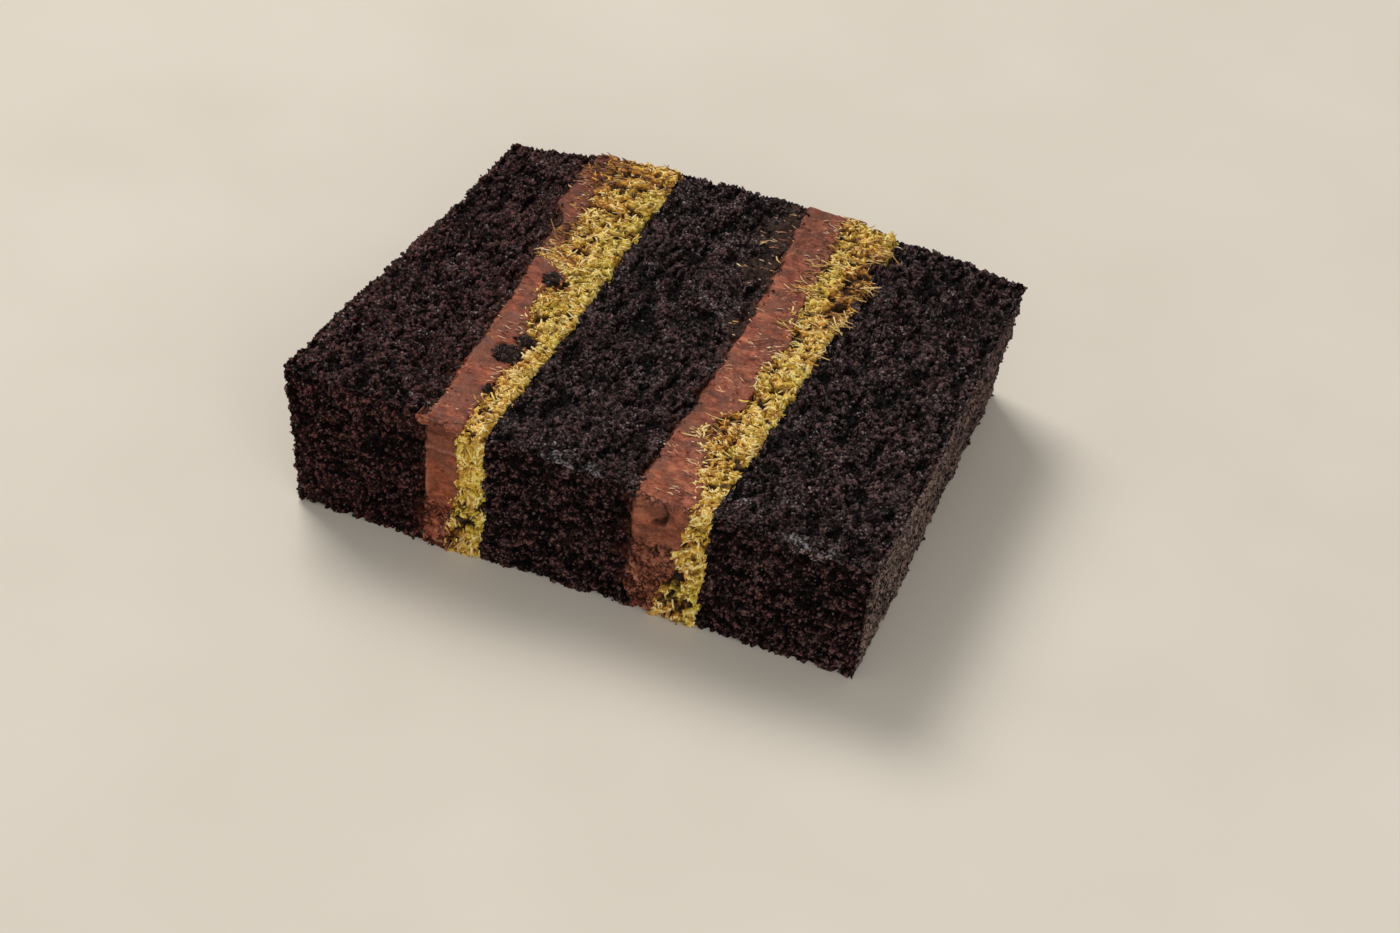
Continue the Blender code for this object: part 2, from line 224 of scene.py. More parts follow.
def table_rows(cells, seed):
    """A scrambled row of the random tables for each whole-numbered cell."""
    key = np.full(len(cells), seed * SEED_FACTOR % 2**32, np.uint32)
    for axis, factor in enumerate(AXIS_FACTORS):
        key ^= cells[:, axis].astype(np.uint32) * np.uint32(factor)
    for shift, factor in STIRS:
        key = (key ^ (key >> np.uint32(shift))) * np.uint32(factor)
    return (key >> np.uint32(LAST_SHIFT)) % TABLE_SIZE


def noise(points, size, seed):
    """Smooth noise from about -1 to 1, with lumps of one size, or of three along X, Y and Z."""
    scaled = points / np.asarray(size)
    home = np.floor(scaled)
    offset = scaled - home
    fade = offset**3 * (offset * (offset * 6 - 15) + 10)
    home = home.astype(int)
    total = np.zeros(len(points))
    for corner in itertools.product((0, 1), repeat=3):
        step = np.array(corner)
        slope = GRADIENTS[table_rows(home + step, seed)]
        weight = np.prod(np.where(step, fade, 1 - fade), axis=1)
        total += weight * ((offset - step) * slope).sum(1)
    return total * NOISE_GAIN


def patchy(points, size, seed, low, high):
    """Noise cut into patches: 0 where it is below the first limit and 1 above the second."""
    return smooth_step(low, high, noise(points, size, seed))


def clumps(points, size, seed):
    """Distances to the nearest two of scattered centres, in sizes, and the nearest one's mark."""
    scaled = points / np.asarray(size)
    home = np.floor(scaled).astype(int)
    nearest = np.full(len(points), np.inf)
    second = nearest.copy()
    mark = np.zeros(len(points))
    for step in itertools.product((-1, 0, 1), repeat=3):
        cell = home + np.array(step)
        rows = table_rows(cell, seed)
        distance = np.linalg.norm(scaled - cell - SPOTS[rows], axis=1)
        closer = distance < nearest
        second = np.where(closer, nearest, np.minimum(second, distance))
        mark = np.where(closer, MARKS[rows], mark)
        nearest = np.where(closer, distance, nearest)
    return nearest, second, mark


def warped(points, size, amount, seed):
    """Points pushed about by noise, so that clumps lose their round shape."""
    push = [noise(points, size, seed + n) for n in range(3)]
    return points + amount * np.stack(push, 1)


# One layer's open faces before their relief, with the shares that each point was made from
Surface = namedtuple("Surface", "points normals areas quads rings height across to_left to_right faces")


def quads_of(sheet):
    """The quads of a grid of vertex numbers, facing the way that its rows and columns turn."""
    corners = (sheet[:-1, :-1], sheet[1:, :-1], sheet[1:, 1:], sheet[:-1, 1:])
    return np.stack(corners, -1).reshape(-1, 4)


def normals_and_areas(points, quads):
    """The direction that each point's quads face, and the area round it."""
    a, b, c, d = (points[quads[:, n]] for n in range(4))
    # Twice the area of each quad, which its four corners share
    facing = np.cross(c - a, d - b)
    total = np.zeros_like(points)
    for n in range(4):
        for axis in range(3):
            total[:, axis] += np.bincount(quads[:, n], facing[:, axis], len(points))
    length = np.linalg.norm(total, axis=1)
    return total / length[:, None], length / 8


def side_ring(number, side):
    """The ring round one side of a layer: up its front, along its top and down its back."""
    columns = (number[side, 0, :], number[side, 1:, -1], number[side, -1, -2::-1])
    return np.concatenate(columns)


def sheets_and_rings(number, open_left, open_right):
    """The open faces as grids of vertex numbers, and the rings that the hidden sides close."""
    sheets = [number[:, :, -1], number[:, 0, :], number[::-1, -1, :]]
    rings = []
    if open_left:
        sheets.append(number[0, ::-1, :])
    else:
        rings.append(side_ring(number, 0))
    if open_right:
        sheets.append(number[-1])
    else:
        rings.append(side_ring(number, -1)[::-1])
    bottom = [number[:, 0, 0]]
    if open_right:
        bottom.append(number[-1, 1:-1, 0])
    bottom.append(number[::-1, -1, 0])
    if open_left:
        bottom.append(number[0, -2:0:-1, 0])
    rings.append(np.concatenate(bottom)[::-1])
    return sheets, rings


def layer_surface(index, kind):
    """The open faces of one layer as a fine lattice, and the rings that its hidden sides close."""
    open_left = index == 0
    open_right = index == len(BOUNDARIES) - 2
    cell = CELL[kind]
    nx = round((BOUNDARIES[index + 1].top[2] - BOUNDARIES[index].top[2]) / cell)
    ny = round(DEPTH / cell)
    nz = round(THICKNESS_LEFT / cell)
    shown = np.zeros((nx + 1, ny + 1, nz + 1), bool)
    shown[:, :, nz] = True
    shown[:, 0, :] = True
    shown[:, ny, :] = True
    shown[0] |= open_left
    shown[nx] |= open_right
    number = np.cumsum(shown).reshape(shown.shape) - 1
    i, j, k = np.nonzero(shown)
    across = i / nx
    depth = j / ny
    height = k / nz

    left = seen_boundary(index, depth, height)
    right = seen_boundary(index + 1, depth, height)
    low = left if open_left else left - OVERLAP[kind][0]
    high = right if open_right else right + OVERLAP[kind][1]
    x = mix(low, high, across)
    y = mix(front_y(height), back_y(x, height), depth)
    points = rounded(np.stack((x, y, height * top_z(x)), 1), depth, height)

    sheets, rings = sheets_and_rings(number, open_left, open_right)
    quads = np.concatenate([quads_of(sheet) for sheet in sheets])
    normals, areas = normals_and_areas(points, quads)
    normals[k == 0, 2] = 0.0
    normals /= np.linalg.norm(normals, axis=1)[:, None]
    faces = {
        "top": np.clip(normals[:, 2], 0, 1) ** 2,
        "front": np.clip(-normals[:, 1], 0, 1) ** 2,
        "back": np.clip(normals[:, 1], 0, 1) ** 2,
        "wall": normals[:, 0] ** 2 if open_left or open_right else np.zeros(len(points)),
    }
    return Surface(points, normals, areas, quads, rings, height, across, x - left, right - x, faces)


def closed_mesh(points, quads, rings):
    """Adds a fan from the middle of each ring, so that a layer is one closed body."""
    fans = []
    for ring in rings:
        centre = points[ring].mean(0)
        if np.ptp(points[ring, 2]) < EDGE_RADIUS:
            centre[2] = 0.0
        middle = np.full(len(ring), len(points))
        fans.append(np.stack((ring, np.roll(ring, -1), middle), 1))
        points = np.vstack((points, centre))
    return points, quads.tolist() + np.concatenate(fans).tolist()


def mesh_object(name, points, faces, material, smooth=True, values=None):
    """A piece in the frame, with the values that its material reads at each point."""
    mesh = bpy.data.meshes.new(name)
    mesh.from_pydata(((points - MIDDLE) * MM).tolist(), [], faces)
    mesh.polygons.foreach_set("use_smooth", [smooth] * len(mesh.polygons))
    for key, numbers in (values or {}).items():
        padded = np.zeros(len(points), np.float32)
        padded[:len(numbers)] = numbers
        mesh.attributes.new(key, "FLOAT", "POINT").data.foreach_set("value", padded)
    mesh.materials.append(material)
    mesh.update()
    piece = bpy.data.objects.new(name, mesh)
    bpy.context.scene.collection.objects.link(piece)
    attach(piece, "root")
    return piece


# Crumb relief, as sizes of its clumps and depths below the tips of the crumbs
CRUMB_RANGE = 2.4
BROAD_SIZE = 8.0
CLUMP_SIZE = 1.15
GRIT_SIZE = 0.6
WEB_SIZE = 1.7
PORE_SIZE = 1.2
TEAR_SIZE = (2.2, 4.2, 2.6)
FRONT_TEAR_SIZE = (4.6, 2.4, 1.2)


DOME_RADIUS = 0.8


def dome(distance):
    """A rounded top, 1 over a clump's centre and 0 at its edge."""
    return np.clip(1 - (distance / DOME_RADIUS) ** 2, 0.0, 1.0)


def crumb_height(points, front, seed):
    """How high the crumb stands, from 0 in the deepest pore to 1 at the tips."""
    bent = warped(points, 1.3, 0.55, seed)
    near, _, mark = clumps(bent, CLUMP_SIZE, seed + 4)
    clump = dome(near) * mix(0.2, 1.0, mark)
    near, _, mark = clumps(bent, GRIT_SIZE, seed + 5)
    grit = dome(near) * mark
    broad = noise(points, BROAD_SIZE, seed + 6) + 0.7 * noise(points, BROAD_SIZE / 2.5, seed + 7)
    web = 0.5 - 1.6 * np.abs(noise(bent, WEB_SIZE, seed + 10)) + 0.3 * noise(bent, 0.8, seed + 11)
    coarse = patchy(points, 9.0, seed + 12, -0.5, 0.5)
    pore = patchy(bent, PORE_SIZE, seed + 8, 0.05, 0.4) * mix(0.5, 1.2, coarse)
    tear = mix(noise(bent, TEAR_SIZE, seed + 9), noise(bent, FRONT_TEAR_SIZE, seed + 13), front)
    high = 0.40 + 0.12 * broad + 0.24 * clump + 0.2 * grit + 0.28 * web
    high = high - 0.36 * pore - mix(0.4, 0.5, front) * smooth_step(0.22, 0.5, tear)
    return np.clip(high, 0.0, 1.0)


# The baked sides: ridges along Y with lumps on them
RIDGE_SIZE = (3.0, 10.0, 2.2)
LUMP_SIZE = (1.6, 3.0, 1.3)
CRUST_AT_BACK = 0.35


def crust_height(points, seed):
    bent = warped(points, 3.0, 1.0, seed)
    ridges = noise(bent, RIDGE_SIZE, seed + 14)
    lumps = noise(bent, LUMP_SIZE, seed + 15)
    return np.clip(0.5 + 0.42 * ridges + 0.3 * lumps + 0.15 * noise(points, 0.9, seed + 16), 0.0, 1.0)


# Soft zones, each with its middle and half sizes in X, Y and Z
Zone = namedtuple("Zone", "middle reach strength")
# Cake pressed smooth at its front edges, where sheen is painted on it, and smeared beside the second
# ganache
PRESSED = (
    Zone((60.0, 0.5, 31.5), (8.0, 2.5, 3.0), 1.0),
    Zone((109.0, 0.5, 29.0), (8.0, 3.5, 3.5), 1.0),
)
SMEARED = (
    Zone((68.5, 84.0, 32.0), (6.5, 20.0, 6.0), 0.9),
    Zone((71.0, 56.0, 32.0), (3.5, 14.0, 6.0), 0.7),
)
# Where cake crumbs lie in the ganache and the kunafa
CRUMBLED = (
    Zone((35.4, 24.2, 33.2), (3.5, 3.1, 4.0), 1.0),
    Zone((37.0, 29.3, 33.2), (2.6, 1.9, 4.0), 0.8),
    Zone((36.8, 12.3, 33.5), (1.1, 1.8, 4.0), 0.4),
    Zone((32.6, 50.0, 33.4), (2.1, 2.4, 4.0), 0.8),
)
# Holes between the strands, sunk in the paste and painted dark with shade
HOLES = (
    Zone((39.5, 0.0, 31.8), (1.8, 2.0, 1.6), 1.0),
    Zone((33.8, 61.6, 33.5), (2.4, 1.3, 3.0), 0.9),
    Zone((38.0, 78.6, 33.5), (1.9, 1.4, 3.0), 0.9),
    Zone((40.4, 71.4, 33.5), (1.2, 1.6, 3.0), 0.7),
    Zone((28.0, 75.2, 33.7), (1.0, 2.0, 3.0), 1.0),
    Zone((36.0, 87.5, 33.4), (1.6, 1.3, 3.0), 0.7),
    Zone((35.8, 36.5, 33.4), (1.0, 2.6, 3.0), 0.7),
    Zone((86.4, 39.4, 31.3), (1.6, 1.3, 3.0), 1.0),
    Zone((85.4, 34.8, 31.3), (1.2, 1.2, 3.0), 0.8),
    Zone((86.3, 7.3, 31.0), (1.5, 1.4, 3.0), 0.7),
    Zone((85.6, 66.8, 31.2), (1.9, 1.1, 3.0), 0.8),
    Zone((87.6, 70.2, 31.2), (1.2, 1.8, 3.0), 0.9),
    Zone((84.8, 73.0, 31.2), (1.1, 1.9, 3.0), 0.9),
    Zone((87.9, 75.4, 31.2), (1.6, 1.2, 3.0), 0.9),
    Zone((85.6, 79.2, 31.2), (1.1, 2.4, 3.0), 1.0),
    Zone((87.8, 82.0, 31.2), (2.0, 1.1, 3.0), 1.0),
    Zone((84.6, 85.4, 31.2), (1.5, 1.0, 3.0), 0.8),
    Zone((87.0, 89.0, 31.2), (1.0, 1.9, 3.0), 0.8),
    Zone((38.0, -1.0, 8.5), (3.2, 2.0, 1.3), 0.9),
    Zone((40.6, -1.0, 12.6), (1.2, 2.0, 1.0), 0.8),
    Zone((36.6, -1.0, 13.0), (1.2, 2.0, 0.8), 0.7),
    Zone((83.0, -1.0, 12.0), (2.2, 2.0, 1.6), 0.9),
    Zone((85.5, -1.0, 6.0), (1.2, 2.0, 1.4), 0.8),
)
# Where strands hang out over the third cake
HANGING = (
    Zone((89.5, 67.0, 31.0), (8.0, 5.0, 4.0), 1.0),
    Zone((89.5, 78.0, 31.0), (8.0, 5.0, 4.0), 1.0),
    Zone((89.5, 91.0, 31.0), (8.0, 6.0, 4.0), 1.0),
    Zone((89.5, 52.0, 31.0), (8.0, 6.0, 4.0), 0.5),
)
# Where straws run out over the ganache
STRAWY = (
    Zone((28.5, 62.0, 33.6), (6.0, 10.0, 4.0), 1.0),
    Zone((26.0, 90.0, 33.8), (6.0, 10.0, 4.0), 0.9),
    Zone((35.4, 8.0, 33.2), (4.0, 5.0, 4.0), 0.8),
    Zone((80.0, 22.0, 31.2), (5.0, 8.0, 4.0), 0.9),
    Zone((79.0, 68.0, 31.2), (6.0, 26.0, 4.0), 1.0),
)
# Where the ganache is darker: darker ganache, and painted shade under strands
DARKENED = (
    Zone((26.0, 78.0, 33.8), (8.0, 30.0, 5.0), 0.5),
    Zone((28.5, 60.0, 33.8), (4.0, 6.0, 5.0), 0.7),
    Zone((27.6, 74.6, 33.8), (1.4, 2.4, 5.0), 0.8),
    Zone((36.0, 12.0, 33.3), (2.0, 2.5, 4.0), 0.5),
    Zone((74.0, 90.0, 31.5), (5.0, 12.0, 4.0), 0.55),
    Zone((76.5, 70.0, 31.5), (2.6, 8.0, 4.0), 0.4),
    Zone((74.4, 27.0, 31.4), (2.4, 9.0, 4.0), 0.6),
    Zone((79.6, 54.0, 31.3), (1.4, 5.0, 4.0), 0.5),
    Zone((78.6, 20.0, 31.3), (2.6, 5.0, 4.0), 0.55),
)
# Where toasted strands lie thickly on the first ganache
STREWN = (
    Zone((25.2, 92.0, 33.8), (4.4, 9.0, 5.0), 1.0),
    Zone((26.6, 77.0, 33.8), (2.4, 5.0, 5.0), 0.6),
    Zone((28.4, 62.0, 33.7), (2.0, 6.0, 5.0), 0.7),
)
# Smooth paste that no strands cross
SMOOTH = (
    Zone((38.5, -1.0, 21.5), (3.2, 2.0, 8.0), 0.9),
)
# Where the paste is green and comes up between the strands
GREEN = (
    Zone((39.0, 66.0, 33.3), (4.5, 34.0, 4.0), 0.8),
    Zone((81.0, 77.0, 31.3), (2.6, 16.0, 4.0), 0.9),
    Zone((85.0, 46.0, 31.3), (4.0, 16.0, 4.0), 0.3),
    Zone((38.5, -1.0, 17.0), (6.0, 2.0, 20.0), 0.7),
    Zone((85.0, -1.0, 6.0), (5.0, 2.0, 12.0), 0.6),
    Zone((34.0, 99.0, 16.0), (12.0, 2.5, 22.0), 0.8),
    Zone((83.0, 98.0, 16.0), (12.0, 2.5, 22.0), 0.8),
)
# Where the kunafa is dark brown, under toasted strands
BROWNED = (
    Zone((26.5, 90.0, 33.8), (6.4, 10.0, 5.0), 1.0),
    Zone((27.4, 66.0, 33.7), (3.4, 7.0, 4.0), 1.0),
    Zone((30.0, 58.0, 33.6), (2.4, 2.0, 4.0), 0.6),
    Zone((37.0, 92.0, 33.3), (5.0, 3.0, 4.0), 0.5),
    Zone((34.5, 81.5, 33.4), (2.2, 2.0, 4.0), 0.6),
    Zone((41.0, 63.0, 33.2), (1.2, 3.5, 4.0), 0.6),
    Zone((78.8, 58.0, 31.3), (2.2, 4.0, 4.0), 0.8),
    Zone((78.2, 82.0, 31.3), (1.8, 14.0, 4.0), 0.8),
    Zone((87.6, 78.0, 31.1), (3.0, 18.0, 4.0), 0.8),
    Zone((81.0, 24.0, 31.2), (2.2, 5.0, 4.0), 0.7),
    Zone((35.0, -1.0, 4.0), (1.6, 2.0, 4.0), 0.5),
)
# Browner strands
TOASTED = (
    Zone((31.5, 57.4, 33.6), (4.4, 3.0, 4.0), 1.0),
    Zone((27.5, 66.0, 33.6), (3.5, 7.0, 4.0), 0.9),
    Zone((26.5, 86.0, 33.7), (6.0, 12.0, 4.0), 1.0),
    Zone((78.0, 74.0, 31.3), (2.2, 24.0, 4.0), 1.0),
    Zone((87.0, 78.0, 31.0), (4.0, 20.0, 4.0), 0.5),
    Zone((82.0, 22.0, 31.2), (4.0, 7.0, 4.0), 0.9),
    Zone((38.0, 94.0, 33.2), (8.0, 6.0, 4.0), 0.7),
    Zone((85.1, -1.0, 13.0), (0.9, 2.0, 3.2), 1.0),
    Zone((35.5, -1.0, 4.0), (2.0, 2.0, 3.5), 0.7),
)

# How ragged the zones' edges are, and the size of the lumps in them
ZONE_RAGGED = 0.28
ZONE_LUMP = 1.8
ZONE_SEED = 70


def in_zones(points, zones):
    """How far points lie in any of a few soft, ragged zones, from 0 to 1."""
    total = np.zeros(len(points))
    ragged = ZONE_RAGGED * noise(points, ZONE_LUMP, ZONE_SEED)
    for zone in zones:
        offset = (points - np.array(zone.middle)) / np.array(zone.reach)
        inside = fading(0.5, 1.1, np.linalg.norm(offset, axis=1) + ragged)
        total = np.maximum(total, zone.strength * inside)
    return total


# How far ganache is dragged over the cake beside it, and how long its streaks are
DRAG = 1.3
DRAG_STREAK = (5.0, 1.0, 3.0)


def dragged(surface, seed):
    """How much ganache is smeared over the crumb along the edge that the two share."""
    streaks = patchy(surface.points, DRAG_STREAK, seed, -0.5, 0.5)
    return np.exp(-np.clip(surface.to_right, 0, None) / (DRAG * (0.3 + streaks))) * streaks


def cake_relief(surface, beside_ganache, seed):
    """Depth below the smooth outline, and the values that the crumb's material reads."""
    points = surface.points
    crumb = crumb_height(points, surface.faces["front"], seed) - 0.1 * surface.faces["front"]
    uneven = patchy(points, 3.0, seed + 17, -0.4, 0.3)
    pressed = in_zones(points, PRESSED) * uneven
    smear = in_zones(points, SMEARED) * uneven
    crumb = mix(crumb, 0.66 + 0.2 * (crumb - 0.5), 0.85 * np.maximum(pressed, smear))
    stain = dragged(surface, seed + 18) if beside_ganache else np.zeros(len(points))
    wall = smooth_step(0.35, 0.75, surface.faces["wall"])
    high = mix(crumb, crust_height(points, seed), wall * 0.75)
    crust = smooth_step(0.65, 0.95, surface.faces["wall"])
    crust = crust * mix(1.0, CRUST_AT_BACK, smooth_step(0.2, 0.9, points[:, 1] / DEPTH))
    values = {
        "high": high, "pressed": pressed, "smear": smear, "stain": stain, "crust": crust,
        # How far each point faces up, which places the painted glints and the sides' painted light
        "top": surface.faces["top"],
    }
    return CRUMB_RANGE * (1 - high), values


# Ganache relief
GANACHE_DEPTH = 0.5
GROOVES = (0.91, 0.885, 0.86)
PANEL_TOP = 0.77
PANEL_SIDE = 30.0
ROUGH_BELOW = 0.37
CRACKED_BELOW = 0.62
BROKEN_BELOW = 0.3
DENT = (79.2, 27.2)
DENT_HALF = (2.0, 3.1)
CRACK_STAR = (79.0, 17.0)
SCRATCH_HEIGHTS = (0.80, 0.85, 0.90)
LAYER_FLAKE = (4.0, 2.5, 1.1)
FOOT_SLANT = 0.45

# How far the ganache's left edge is rounded down into the crumb
SUNK_EDGE = 1.0
SUNK_DEPTH = 1.1

# How deep, pale, dull, dark and chipped each point of the ganache is; pale is partly painted highlight,
# and dark is painted shade in cracks, pits and gaps, and partly darker ganache
Marks = namedtuple("Marks", "depth pale dull dark chipped")


def line_at(value, middle, width):
    """A soft line where a value passes a middle."""
    return np.exp(-((value - middle) / width) ** 2)


def smeared(points, seed):
    """The dragged surface: low waves, rubbed spots, fine scratches, small pits and dull patches."""
    waves = 0.16 * noise(points, 6.0, seed) + 0.10 * noise(points, 2.0, seed + 1)
    marked = patchy(points, 5.0, seed + 2, -0.3, 0.4)
    scratch = patchy(points, (5.0, 0.7, 2.0), seed + 3, 0.2, 0.6) * marked
    near, _, mark = clumps(points, 2.0, seed + 4)
    pit = fading(0.08, 0.24, near) * (mark > 0.84)
    near, _, mark = clumps(points, 1.0, seed + 8)
    speck = fading(0.1, 0.3, near) * (mark > 0.72) * marked
    rub = patchy(points, 1.0, seed + 5, 0.1, 0.6) * marked
    depth = waves + 0.12 * scratch + 0.5 * pit - 0.15 * rub - 0.12 * speck
    dull = noise(points, 4.5, seed + 6) + 0.6 * noise(points, 1.8, seed + 7)
    streak = patchy(points, (3.0, 1.4, 2.0), seed + 9, 0.2, 0.8)
    pale = 0.4 * rub + 0.2 * scratch + 0.5 * speck
    # The pits are painted dark: painted shade
    return Marks(depth, pale, smooth_step(-0.3, 0.5, dull), 0.8 * pit + 0.3 * streak, 0.35 * marked)


def broken(points, size, seed):
    """Crumbly ganache: angular bits, some of them pale with painted highlight, with cracks between them
    where shade is painted dark.
    """
    bent = warped(points, size, size * 0.3, seed)
    near, second, mark = clumps(bent, size, seed + 3)
    # The cracks' darkness is painted shade
    crack = fading(0.04, 0.2, second - near)
    open_crack = crack * patchy(points, size * 2, seed + 4, -0.3, 0.3)
    depth = 0.7 * size * (mark - 0.5) + 1.2 * open_crack
    return depth, smooth_step(0.5, 0.1, mark) * (1 - crack), open_crack


def first_ganache_front(points, height, seed):
    """A chipped lip, a dull grooved band under it, a smooth panel and a rough foot."""
    x = points[:, 0]
    z = points[:, 2]
    rough, pale_bits, cracks = broken(points, 1.2, seed)
    wobble = 0.012 * noise(points, 3.0, seed + 7) + 0.008 * noise(points, 1.2, seed + 9)
    level = height + wobble
    lip = smooth_step(LIP_HEIGHT - 0.012, LIP_HEIGHT + 0.01, level)
    band = lift_between(PANEL_TOP, LIP_HEIGHT, level, 0.01)
    grooves = sum(line_at(level, groove, 0.009) for groove in GROOVES)
    foot = fading(ROUGH_BELOW - 0.04, ROUGH_BELOW + 0.02, level + 2 * wobble)
    panel = lift_between(ROUGH_BELOW, PANEL_TOP, level, 0.01)
    edge = line_at(level, PANEL_TOP, 0.01) + line_at(x, PANEL_SIDE, 0.3) * panel
    near, _, mark = clumps(points, 1.6, seed + 8)
    pits = fading(0.12, 0.3, near) * (mark > 0.4) * panel
    pits = pits * line_at(x, 33.4, 1.4) * line_at(z, 22, 4.5)
    beside = panel * fading(PANEL_SIDE - 0.6, PANEL_SIDE, x)
    depth = -0.7 * lip + 0.5 * band + 0.35 * grooves - 0.2 * edge + 0.8 * pits + 0.3 * beside
    depth += rough * (0.5 * lip + 1.1 * foot) + 0.2 * foot
    # Painted highlights on the lip, the panel's edges and the foot's bits
    pale = 0.9 * lip * mix(0.3, 1.0, pale_bits) + 0.6 * edge + 0.75 * foot * pale_bits
    dull = 0.9 * band * (1 - 0.6 * grooves) + panel * patchy(points, 5.0, seed + 10, -0.6, 0.6)
    # Painted shade in the cracks, the grooves, the pits and beside the panel
    dark = cracks * (0.6 * lip + foot) + 0.7 * grooves * band + 0.8 * pits + 0.25 * beside
    chipped = np.clip(foot + 0.5 * lip + 0.15 * panel, 0, 1)
    return Marks(depth, pale, np.clip(dull, 0, 1), dark, chipped)


def dent(points, seed):
    """The dent's floor, how that slants, the deep crescent on its right where shadow is painted, and
    its pale rim there, a painted highlight.
    """
    aside = (points[:, 0] - DENT[0]) / DENT_HALF[0]
    above = (points[:, 2] - DENT[1]) / DENT_HALF[1]
    uneven = 0.2 * noise(points, 1.8, seed + 14) + 0.08 * noise(points, 0.8, seed + 15)
    inside = np.hypot(aside, above) + uneven
    floor = fading(0.8, 1.05, inside)
    slant = np.clip(0.5 + 0.45 * (aside - 0.7 * above), 0.0, 1.0)
    crescent = line_at(inside, 0.86, 0.2) * smooth_step(0.46, 0.62, slant)
    rim = line_at(inside, 1.12, 0.1) * smooth_step(0.4, 0.8, slant)
    return floor, slant, crescent, rim


def second_ganache_front(points, height, seed):
    """A chipped top edge, a dent, a crack, and broken layers that slant at the foot."""
    x = points[:, 0]
    z = points[:, 2]
    wobble = 0.03 * noise(points, 3.0, seed + 7)
    level = height + wobble
    chips, pale_bits, chip_cracks = broken(points, 1.3, seed)
    top_edge = smooth_step(LIP_HEIGHT - 0.04, LIP_HEIGHT + 0.01, level)
    floor, slant, crescent, rim = dent(points, seed)

    scratches = sum(line_at(level, middle, 0.008) for middle in SCRATCH_HEIGHTS)
    scratches = scratches * line_at(x, 75.4, 1.0)
    cracked = fading(CRACKED_BELOW - 0.08, CRACKED_BELOW + 0.04, level)
    bits, pale_bits_below, bit_cracks = broken(points, 1.2, seed + 9)
    step = smooth_step(CRACKED_BELOW + 0.01, CRACKED_BELOW + 0.02, level + 0.5 * wobble)
    from_crack = np.hypot(1.3 * (x - CRACK_STAR[0]), z - CRACK_STAR[1])
    hole = fading(0.5, 1.2, from_crack + 1.1 * noise(points, 1.0, seed + 11))

    slanted = points @ np.array(((1.0, 0, FOOT_SLANT), (0, 1.0, 0), (0, 0, 1.0)))
    near, second, mark = clumps(warped(slanted, 2.0, 0.5, seed + 13), LAYER_FLAKE, seed + 10)
    foot = fading(BROKEN_BELOW - 0.02, BROKEN_BELOW + 0.02, level)
    gap = fading(0.05, 0.25, second - near)

    depth = 0.6 * chips * top_edge + floor * mix(0.3, 0.7, slant) + 1.1 * crescent + 0.15 * scratches
    depth += 1.6 * hole
    depth += cracked * (0.7 * bits + 0.35) - 0.25 * step
    depth += foot * (1.9 * (mark - 0.4) + 1.4 * gap)
    # Painted highlights on the top edge's bits, the dent's rim, the cracked bits and the foot's flakes;
    # the scratches are pale too
    pale = top_edge * mix(0.2, 0.9, pale_bits) + 0.8 * scratches + 0.35 * rim
    pale += 0.5 * cracked * pale_bits_below + 0.6 * foot * smooth_step(0.5, 0.2, mark) * (1 - gap)
    dull = mix(0.6 + 0.4 * noise(points, 3.0, seed + 12), 0.0, foot) + 0.3 * floor
    # Painted shade in the dent, its crescent, the crack's hole, the cracks and the gaps at the foot
    dark = 0.2 * floor + crescent + hole + 0.8 * cracked * bit_cracks * (1 - foot)
    dark += 0.9 * foot * gap + 0.4 * top_edge * chip_cracks
    chipped = np.clip(0.85 * cracked + foot + 0.6 * top_edge + 0.2, 0, 1)
    return Marks(depth, pale, np.clip(dull, 0, 1), dark, chipped)


def ganache_relief(surface, first, seed):
    """Depth below the smooth outline, and the values that the ganache's material reads."""
    points = surface.points
    front = smooth_step(0.3, 0.7, surface.faces["front"])
    back = smooth_step(0.3, 0.7, surface.faces["back"])
    plain = smeared(points, seed + 20)
    shape_front = first_ganache_front if first else second_ganache_front
    marks = shape_front(points, surface.height, seed)
    back_bits, back_pale, back_cracks = broken(points, 2.0, seed + 30)
    crumbled = in_zones(points, CRUMBLED)
    depth = GANACHE_DEPTH + plain.depth + front * marks.depth + back * (1.5 + 0.6 * back_bits)
    depth += crumbled * (0.5 + 0.4 * noise(points, 1.5, seed + 40))
    uneven_edge = SUNK_EDGE * (1 + 0.5 * noise(points, 2.5, seed + 41))
    lip = front * smooth_step(LIP_HEIGHT - 0.01, LIP_HEIGHT + 0.01, surface.height) if first else 0.0
    edge = -OVERLAP["ganache"][0]
    sunk = fading(edge, uneven_edge + edge, surface.to_left)
    depth += SUNK_DEPTH * sunk * (1 - lip)
    # Painted shade in the cracks at the back
    dark = mix(plain.dark, marks.dark, front) + back * back_cracks
    # Darker where crumbs lie in it, and painted shade where its left edge sinks into the crumb
    dark = dark + 0.7 * crumbled + 0.6 * sunk * (1 - lip)
    dark += in_zones(points, DARKENED) * mix(0.5, 1.0, patchy(points, 2.5, seed + 42, -0.4, 0.4))
    values = {
        "pale": np.clip(mix(plain.pale, marks.pale, front) + 0.3 * back * back_pale, 0.0, 1.0),
        "dull": mix(plain.dull, marks.dull, front),
        "dark": np.clip(dark, 0.0, 1.0),
        "chipped": np.maximum(mix(plain.chipped, marks.chipped, front), back),
    }
    return depth, values


# Kunafa relief: crumbly paste with holes in it, which the strands lie in
PASTE_TOP = 0.1
PASTE_RANGE = 1.9
PASTE_EDGE = 0.9
PASTE_EDGE_SINK = 1.1
PASTE_LUMP = (1.9, 1.2, 1.2)
PASTE_BIT = 0.8
PASTE_PATCH = 7.0
BACK_SINK = 1.3

# The kunafa is paler at the front, up to where this fades out
PALER = 0.07
PALER_UP_TO = (50.0, 72.0)


